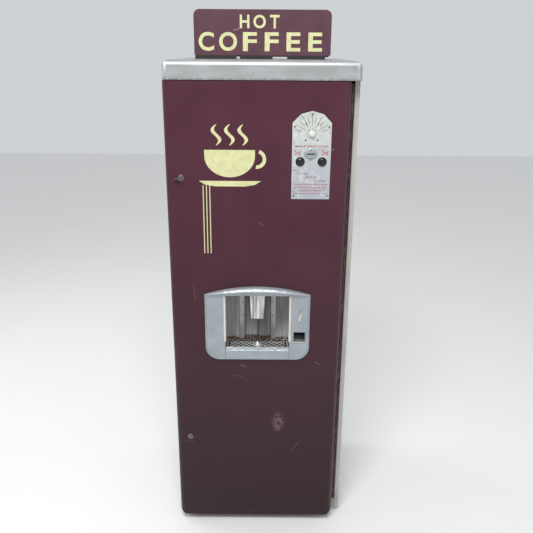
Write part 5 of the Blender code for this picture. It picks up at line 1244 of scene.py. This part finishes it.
def build_tray(s):
    fine_copy("drip_tray", "tray_pan", "dark_screw", 0.0004)
    (x0, x1), (y0, y1), (z0, z1) = node_span("drip_grille")
    plate = z0 + 0.003
    frame_mesh = as_object(block(bmesh.new(), (x0, x1), (y0, y1), (z0, plate)), "tray_grille_frame")
    cut(
        frame_mesh,
        block(bmesh.new(), (x0 + 0.005, x1 - 0.005), (y0 + 0.005, y1 - 0.005), (z0 - 0.01, plate + 0.01)),
    )
    settle(frame_mesh, "mesh_steel", "grille", "stainless", "drip_grille", bevel=0.0007)
    centre = (s.drop_x, (y0 + y1) / 2)
    values = {"Width": x1 - x0 - 0.006, "Depth": y1 - y0 - 0.006, "Pitch": s.mesh_pitch, "Strand": s.mesh_wire,
              "Centre": (*centre, z0 + 0.0018), "Hole": 0.012, "Finish": finish("mesh_steel")}
    mesh = grown("tray_grille_mesh", tree(tree_of_diamonds), values)
    settle(mesh, None, "grille", "stainless")
    peak = z1 + CONE_RISE
    cone = [(0, plate - 0.002), (0.0150, plate - 0.002), (0.0150, plate - 0.0002), (0.0132, plate + 0.0006)]
    cone += [(0.0132 - 0.0112 * t, plate + 0.0006 + (peak - plate - 0.0010) * t ** 0.9) for t in
             (k / 8 for k in range(1, 9))]
    piece("tray_cone", lathe(bmesh.new(), cone + [(0, peak)], centre, 36, "z"), "mesh_steel", "grille",
          "stainless",
          angle=CURVED)
    (x0, x1), (y0, y1), (z0, z1) = node_span("tray_apron")
    top = z1 - 0.009
    profile = [(y0, z0 + 0.0015), (y0 + 0.0012, z0), (y1, z0), (y1, z1 - 0.001), (y1 - 0.002, z1),
               (y1 - 0.0045, z1 - 0.0006),
               (y0 + 0.0035, top + 0.0012), (y0 + 0.0012, top + 0.0002), (y0, top - 0.0016)]
    loops = [[(u, v, w) for v, w in profile] for u in (x0, x1)]
    piece(
        "tray_front", loft(bmesh.new(), loops), "hammered", "tray", "cast_metal", "tray_apron", bevel=0.0008,
        segments=3,
    )


# ---------------------------------------------------------------- coin return


def build_coin_return():
    fine_copy("coin_return_cup", "coin_pocket", "stainless", 0.0005)
    (x0, x1), _, (z0, z1) = node_span("coin_return_cup")
    # A near-black sheet deep in the coin pocket: painted shade where the pocket falls dark.
    flap = block(
        bmesh.new(), (x0 + 0.002, x1 - 0.002), (DOOR_FACE + 0.038, DOOR_FACE + 0.0392),
        (z0 + 0.014, z1 - 0.003),
    )
    piece("coin_pocket_flap", flap, "dark_gap", "door", "stainless", bevel=0.0003)
    crank_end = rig.box("coin_return_lever")[1].x
    (cx, cz), tilt = LEVER_PIVOT, math.radians(LEVER_LEAN)
    front = BEZEL_FACE - 0.0003
    leaf, half_long, half_wide = bmesh.new(), 0.0238, 0.0069
    rim = []
    for side in (1, -1):
        for k in range(16):
            t = -1 + 2 * k / 16
            rim.append((side * half_wide * (1 - t * t) ** 0.85, side * t * half_long))

    def place(u, v, y):
        return (cx + u * math.cos(tilt) - v * math.sin(tilt), y, cz + u * math.sin(tilt) + v * math.cos(tilt))

    back_ring = [leaf.verts.new(place(u * 0.96, v * 0.98, front - 0.0012)) for u, v in rim]
    front_ring = [leaf.verts.new(place(u, v, front - 0.0026)) for u, v in rim]
    ridge = [leaf.verts.new(place(0, v * 0.80, front - 0.0052)) for u, v in rim]
    for i in range(len(rim)):
        j = (i + 1) % len(rim)
        leaf.faces.new((back_ring[i], back_ring[j], front_ring[j], front_ring[i]))
        leaf.faces.new((front_ring[i], front_ring[j], ridge[j], ridge[i]))
    leaf.faces.new(back_ring[::-1])
    bmesh.ops.remove_doubles(leaf, verts=leaf.verts, dist=0.00005)
    inner = DOOR_FACE + 0.011
    boss = [
        (0, front - 0.0018), (0.0062, front - 0.0016), (0.0062, front), (0.0035, front), (0.0035, inner),
        (0, inner),
    ]
    lathe(leaf, boss, LEVER_PIVOT, 32)
    block(leaf, (cx - 0.004, crank_end), (DOOR_FACE + 0.010, DOOR_FACE + 0.0125), (cz - 0.004, cz + 0.004))
    piece(
        "coin_lever", leaf, "chrome", "return_lever", "chrome", "coin_return_lever", bevel=0.0003,
        angle=math.radians(24),
    )


# ---------------------------------------------------------------- selector


def build_selector(s):
    (x0, x1), (y0, y1), (z0, z1) = node_span("selector_plate")
    px, pz = (x0 + x1) / 2, z1 - FAN_RADIUS
    fan = [
        (px + FAN_RADIUS * math.cos(math.radians(a)), pz + FAN_RADIUS * math.sin(math.radians(a)))
        for a in (60, 90, 120)
    ]
    outline = [(x0, z0), (x1, z0), (x1, pz + 0.035)] + fan + [(x0, pz + 0.035)]
    plate = as_object(prism(bmesh.new(), outline, y0, y1), "selector_face")
    bores = [(px, pz, 0.0055)] + [(px + side * 0.036, pz - 0.0896, 0.0150) for side in (-1, 1)]
    for u, v, r in bores:
        cut(
            plate,
            lathe(bmesh.new(), [(0, y0 - 0.01), (r, y0 - 0.01), (r, y1 + 0.01), (0, y1 + 0.01)], (u, v), 40),
        )
    cut(
        plate,
        block(bmesh.new(), (px - 0.0145, px + 0.0145), (y0 - 0.01, y1 + 0.01), (pz - 0.0665, pz - 0.0615)),
    )
    settle(plate, "plate_metal", "door", "plate_enamel", "selector_plate", bevel=0.0005)
    lines, words = bmesh.new(), bmesh.new()
    for degrees in (30, 60, 90, 120, 150):
        a = math.radians(degrees)
        far = 0.0655 if degrees in (60, 90, 120) else 0.0600
        u, v = math.cos(a), math.sin(a)
        corners = [(px + r * u - w * v, pz + r * v + w * u) for r, w in
                   ((0.024, -0.0006), (far, -0.0006), (far, 0.0006), (0.024, 0.0006))]
        prism(lines, corners, y0 - INK, y0 + 0.0001)
    loft(lines, [[(u, y, v) for u, v in arc((px, pz), r, 48, 0, 360)] for r, y in
                 ((0.0148, y0 + 0.0001), (0.0148, y0 - INK), (0.0154, y0 - INK), (0.0154, y0 + 0.0001))],
         closed=True)
    labels = (("BLACK", 165), ("SUGAR", 135), ("CREAM", 105), ("SWEET", 75), ("EXTRA", 45), ("LIGHT", 15))
    for text, degrees in labels:
        a = math.radians(degrees)
        turn = a if degrees < 90 else a + math.pi
        place = (px + 0.045 * math.cos(a), pz + 0.045 * math.sin(a))
        lettering(words, text, place, 0.0042, 0.021, y0, INK, 0.01, turn)
    lettering(words, "MAKE SELECTION", (px, pz - 0.0390), 0.0060, 0.106, y0, INK, 0.02)
    for side in (-1, 1):
        lettering(words, s.price, (px + side * 0.0450, pz - 0.0610), 0.0200, 0.0230, y0, INK, 0.0)
    rows = [("FIRST", -0.0510, -0.117, 0.0036, 0.018), ("PUT COIN IN", -0.0290, -0.128, 0.0036, 0.036),
            ("SET POINTER", 0.0020, -0.140, 0.0036, 0.036), ("PUSH BUTTON", 0.0310, -0.153, 0.0036, 0.038),
            ("TURN POINTER FOR SUGAR OR CREAM", 0.0, -0.1645, 0.0042, 0.108),
            ("HOLD BUTTON UNTIL CUP IS FULL", 0.0, -0.1750, 0.0042, 0.108),
            ("TAKE CUP AWAY", 0.0, -0.1850, 0.0042, 0.078),
            ("LIFT LEVER TO RETURN COIN", 0.0, -0.1955, 0.0038, 0.110)]
    for text, aside, drop, height, width in rows:
        lettering(words, text, (px + aside, pz + drop), height, width, y0, INK, 0.02)
    piece("selector_lines", lines, "black_ink", "door", "plate_enamel")
    piece("selector_words", words, "red_ink", "door", "plate_enamel")
    screws = [(px + side * 0.0553, v) for side in (-1, 1) for v in (pz + 0.023, pz - 0.203)]
    screws += [(px, pz + 0.063), (px - 0.019, pz + 0.032), (px + 0.019, pz + 0.032), (px - 0.0193, pz - 0.020),
               (px + 0.0193, pz - 0.020)]
    on_points("selector_screws", screw_head(0.0026, 0.0012), [(u, y0 + 0.0001, v) for u, v in screws],
              "dark_screw",
              "door", "plate_enamel")
    build_pointer(px, pz)
    build_entry(pz - 0.064)
    for side in ("left", "right"):
        build_button(side)
    recoat("selector_switch", "black_plastic")
    recoat("button_bracket", "zinc_plate")


def build_pointer(px, pz):
    _, (y0, y1), (_, z1) = node_span("selector_pointer")
    hub = lathe(bmesh.new(), [(0, y0), (0.0055, y0 + 0.0002), (0.0070, y0 + 0.0010), (0.0090, y0 + 0.0050),
                              (0.0095, y0 + 0.0070), (0.0095, y0 + 0.0092), (0.0052, y0 + 0.0095), (
                                  0.0045, y0 + 0.0095,
                              ),
                              (0.0045, y1), (0, y1)], (px, pz), 48)
    outline = [(px - 0.0062, pz - 0.004), (px + 0.0062, pz - 0.004), (px + 0.0058, pz + 0.010),
               (px + 0.0020, z1 - 0.0006),
               (px, z1), (px - 0.0020, z1 - 0.0006), (px - 0.0058, pz + 0.010)]
    prism(hub, outline, y0 + 0.0040, y0 + 0.0085)
    piece(
        "pointer_knob", hub, "pale_trim", "selector", "ivory_plastic", "selector_pointer", bevel=0.0006,
        segments=3,
    )
    mark = prism(bmesh.new(), [(px - 0.0006, pz + 0.011), (px + 0.0006, pz + 0.011), (px + 0.0006, z1 - 0.003),
                               (px - 0.0006, z1 - 0.003)], y0 + 0.0037, y0 + 0.0045)
    piece("pointer_mark", mark, "black_ink", "selector", "ivory_plastic")


def build_entry(z):
    """The lens-shaped casting round the coin slot."""
    (x0, x1), (y0, y1), (z0, z1) = node_span("coin_entry")
    middle, half_wide, half_tall = (x0 + x1) / 2, (x1 - x0) / 2, (z1 - z0) / 2
    plate_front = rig.box("selector_plate")[0].y
    rim = []
    for side in (1, -1):
        for k in range(20):
            t = -1 + 2 * k / 20
            rim.append((side * half_wide * (1 - abs(t) ** 2.2), side * t * half_tall))
    loops = []
    for scale, y in ((1.0, plate_front - 0.0001), (1.0, plate_front - 0.0012), (0.90, y0 + 0.0009),
                     (0.72, y0 + 0.0002),
                     (0.45, y0), (0.02, y0)):
        loops.append([(middle + u * scale, y, z + v * scale) for u, v in rim])
    lens = as_object(loft(bmesh.new(), loops), "coin_slot_lens")
    slot = block(
        bmesh.new(), (middle - 0.0130, middle + 0.0130), (y0 - 0.01, y1 + 0.01), (z - 0.0021, z + 0.0021),
    )
    cut(lens, slot)
    settle(lens, "hammered", "door", "cast_metal", "coin_entry", angle=CURVED)
    # The throat behind the slot is a near-black block: painted shade inside the slot.
    dark = bmesh.new()
    block(
        dark, (middle - 0.0132, middle + 0.0132), (plate_front - 0.0004, plate_front + 0.004),
        (z - 0.0024, z + 0.0024),
    )
    piece("coin_slot_throat", dark, "dark_gap", "door", "cast_metal")
    places = [(middle, y0 + 0.0006, z + side * 0.0140) for side in (-1, 1)]
    on_points("coin_slot_screws", screw_head(0.0024, 0.0010), places,
              "dark_screw", "door", "cast_metal")


def build_button(name):
    (x0, x1), (y0, y1), (z0, z1) = node_span(f"push_button_{name}")
    centre, r = ((x0 + x1) / 2, (z0 + z1) / 2), (x1 - x0) / 2
    dome = [(0, y0)] + [(r * math.sin(t), y0 + 0.0072 * (1 - math.cos(t))) for t in
                        (math.pi / 2 * k / 12 for k in range(1, 13))]
    profile = dome + [(r, y0 + 0.0180), (r - 0.0008, y0 + 0.0185), (0.004, y0 + 0.0186), (0.004, y1 - 0.0006),
                      (0.0034, y1), (0, y1)]
    piece(f"button_{name}", lathe(bmesh.new(), profile, centre, 56), "button_gloss", f"{name}_button",
          "black_gloss",
          f"push_button_{name}", angle=CURVED)
    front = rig.box("selector_plate")[0].y
    ring = [(r + 0.0004, front + 0.0005), (r + 0.0004, front - 0.0010), (r + 0.0010, front - 0.0015),
            (r + 0.0022, front - 0.0010), (r + 0.0026, front + 0.0001)]
    loops = [[(u, y, v) for u, v in arc(centre, radius, 56, 0, 360)] for radius, y in ring]
    piece(
        f"button_{name}_collar", loft(bmesh.new(), loops, closed=True), "black_plastic", "door", "plate_enamel",
    )


# ---------------------------------------------------------------- inner works

INNER = {
    "upper_shelf": "zinc_plate", "canister_shelf": "zinc_plate", "turret_motor": "black_paint",
    "control_box": "zinc_plate",
    "cup_chute": "stainless", "water_tank": "stainless", "canister_coffee": "smoky_plastic",
    "canister_cream": "smoky_plastic", "canister_sugar": "smoky_plastic", "canister_lid": "ivory_plastic",
    "mixing_bowl": "ivory_plastic", "whipper_motor": "black_paint", "whipper_impeller": "ivory_plastic",
    "coin_mechanism": "zinc_plate", "coin_chutes": "zinc_plate", "return_link_rod": "zinc_plate",
    "cash_box": "zinc_plate",
    "cup_turret": "stainless", "turret_pinion": "brass_fitting", "auger_coffee": "ivory_plastic",
    "auger_cream": "ivory_plastic", "auger_sugar": "ivory_plastic", "waste_bucket": "ivory_plastic",
    "bucket_handle": "chrome",
}


def build_works(s):
    for node, material in INNER.items():
        recoat(node, material)
    (x0, x1), _, (z0, z1) = node_span("cup_turret")
    lip, foot, tall = 0.0355, 0.0235, 0.090
    cup = [(0, 0.004), (foot - 0.001, 0.004), (foot - 0.001, 0), (foot, 0), (lip - 0.001, tall - 0.0015)]
    cup += [
        (lip + 0.0004, tall - 0.0010), (lip + 0.0004, tall), (lip - 0.0014, tall), (foot - 0.0008, 0.0045),
        (0, 0.0045),
    ]
    for number in range(5):
        turn = math.radians(-90 + 72 * number)
        start = (
            (x0 + x1) / 2 + TUBE_CIRCLE * math.cos(turn), TURRET_Y + TUBE_CIRCLE * math.sin(turn), z0 + 0.016,
        )
        step = (z1 - start[2] - tall - 0.004) / max(1, s.cups - 1)
        in_row(f"cups_{number + 1}", lathe(bmesh.new(), cup, (0, 0), 28, "z"), s.cups, start, (0.0, 0.0, step),
               "paper_cup",
               "turret", "stainless")


# ---------------------------------------------------------------- stage


def area_light(name, place, aim, size, power, colour=(1.0, 1.0, 1.0)):
    data = bpy.data.lights.new(name, "AREA")
    data.shape, data.size, data.size_y, data.energy, data.color = "RECTANGLE", size[0], size[1], power, colour
    lamp = bpy.data.objects.new(name, data)
    bpy.context.scene.collection.objects.link(lamp)
    lamp.location = place
    lamp.rotation_euler = (Vector(aim) - Vector(place)).to_track_quat("-Z", "Y").to_euler()
    return lamp


def build_stage():
    ground = as_object(block(bmesh.new(), (-STUDIO, STUDIO), (-STUDIO, STUDIO), (-0.010, 0.0)), "floor")
    ground.data.materials.append(finish("floor_paper"))
    lamps = [
        area_light("key", (-0.30, -2.1, 3.9), (0.0, -0.25, 1.25), (1.5, 0.9), 92.0, (1.0, 0.985, 0.96)),
        area_light("fill", (2.6, -2.4, 1.7), (0.0, -0.1, 0.9), (1.6, 2.0), 8.0, (0.95, 0.97, 1.0)),
        area_light("rim", (-2.4, 0.9, 2.5), (0.0, 0.0, 1.2), (1.4, 1.8), 20.0),
    ]
    world = bpy.data.worlds.new("studio")
    world.use_nodes = True
    sky = world.node_tree.nodes["Background"].inputs
    sky["Color"].default_value, sky["Strength"].default_value = (0.86, 0.88, 0.92, 1.0), 0.72
    bpy.context.scene.world = world
    data = bpy.data.cameras.new("view")
    data.lens, data.sensor_width, data.clip_start, data.clip_end = LENS, 36.0, 0.01, 100.0
    camera = bpy.data.objects.new("view", data)
    bpy.context.scene.collection.objects.link(camera)
    pitch, roll = math.radians(TILT), math.radians(ROLL)
    forward, right = Vector((0, math.cos(pitch), -math.sin(pitch))), Vector((1, 0, 0))
    up = Vector((0, math.sin(pitch), math.cos(pitch)))
    across = math.cos(roll) * right + math.sin(roll) * up
    above = math.cos(roll) * up - math.sin(roll) * right
    turned = Matrix((across, above, -forward)).transposed().to_4x4()
    camera.matrix_world = Matrix.Translation((0.019, DOOR_FACE - 2.0335, 1.789)) @ turned
    bpy.context.scene.camera = camera
    bpy.context.scene.view_settings.view_transform = "Standard"
    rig.stage(ground, *lamps)


# ---------------------------------------------------------------- operators and panel


class VENDING_OT_cabinet(bpy.types.Operator):
    """Build the case, its crown, back and feet"""

    bl_idname = "vending.cabinet"
    bl_label = "Cabinet"

    def execute(self, context):
        build_cabinet(context.scene.vending)
        return {"FINISHED"}


class VENDING_OT_sign(bpy.types.Operator):
    """Build the sign on top, with its words"""

    bl_idname = "vending.sign"
    bl_label = "Sign"

    def execute(self, context):
        build_sign(context.scene.vending)
        return {"FINISHED"}


class VENDING_OT_door(bpy.types.Operator):
    """Build the door, its hinge, its emblem and its locks"""

    bl_idname = "vending.door"
    bl_label = "Door"

    def execute(self, context):
        build_door(context.scene.vending)
        build_locks()
        return {"FINISHED"}


class VENDING_OT_station(bpy.types.Operator):
    """Build the cup station, its hood and its drip tray"""

    bl_idname = "vending.station"
    bl_label = "Cup station"

    def execute(self, context):
        build_station(context.scene.vending)
        return {"FINISHED"}


class VENDING_OT_coins(bpy.types.Operator):
    """Build the coin return pocket and its lever"""

    bl_idname = "vending.coins"
    bl_label = "Coin return"

    def execute(self, context):
        build_coin_return()
        return {"FINISHED"}


class VENDING_OT_selector(bpy.types.Operator):
    """Build the selector plate with its pointer, coin slot and buttons"""

    bl_idname = "vending.selector"
    bl_label = "Selector"

    def execute(self, context):
        build_selector(context.scene.vending)
        return {"FINISHED"}


class VENDING_OT_works(bpy.types.Operator):
    """Finish the works inside the case and fill the cup tubes"""

    bl_idname = "vending.works"
    bl_label = "Inner works"

    def execute(self, context):
        build_works(context.scene.vending)
        return {"FINISHED"}


class VENDING_OT_stage(bpy.types.Operator):
    """Set up the floor, the lights and the camera"""

    bl_idname = "vending.stage"
    bl_label = "Stage"

    def execute(self, context):
        build_stage()
        return {"FINISHED"}


OPERATORS = (
    VENDING_OT_cabinet, VENDING_OT_sign, VENDING_OT_door, VENDING_OT_station, VENDING_OT_coins,
    VENDING_OT_selector, VENDING_OT_works, VENDING_OT_stage,
)


class VENDING_PT_panel(bpy.types.Panel):
    """Sizes and building steps of the vending machine"""

    bl_idname = "VENDING_PT_panel"
    bl_label = "Vending machine"
    bl_space_type = "VIEW_3D"
    bl_region_type = "UI"
    bl_category = "Vending"

    def draw(self, context):
        for name in VendingSizes.__annotations__:
            self.layout.prop(context.scene.vending, name)
        for operator in OPERATORS:
            self.layout.operator(operator.bl_idname)


def register():
    for made in (VendingSizes, *OPERATORS, VENDING_PT_panel):
        bpy.utils.register_class(made)
    bpy.types.Scene.vending = PointerProperty(type=VendingSizes)


def unregister():
    del bpy.types.Scene.vending
    for made in (VENDING_PT_panel, *reversed(OPERATORS), VendingSizes):
        bpy.utils.unregister_class(made)


def main():
    register()
    for operator in OPERATORS:
        getattr(bpy.ops.vending, operator.bl_idname.split(".")[1])()
    spans = {"cad": CAD_BOX, "visual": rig.bounds()}
    with open("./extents.json", "w") as file:
        json.dump({name: [list(corner) for corner in span] for name, span in spans.items()}, file)


if __name__ == "__main__":
    main()
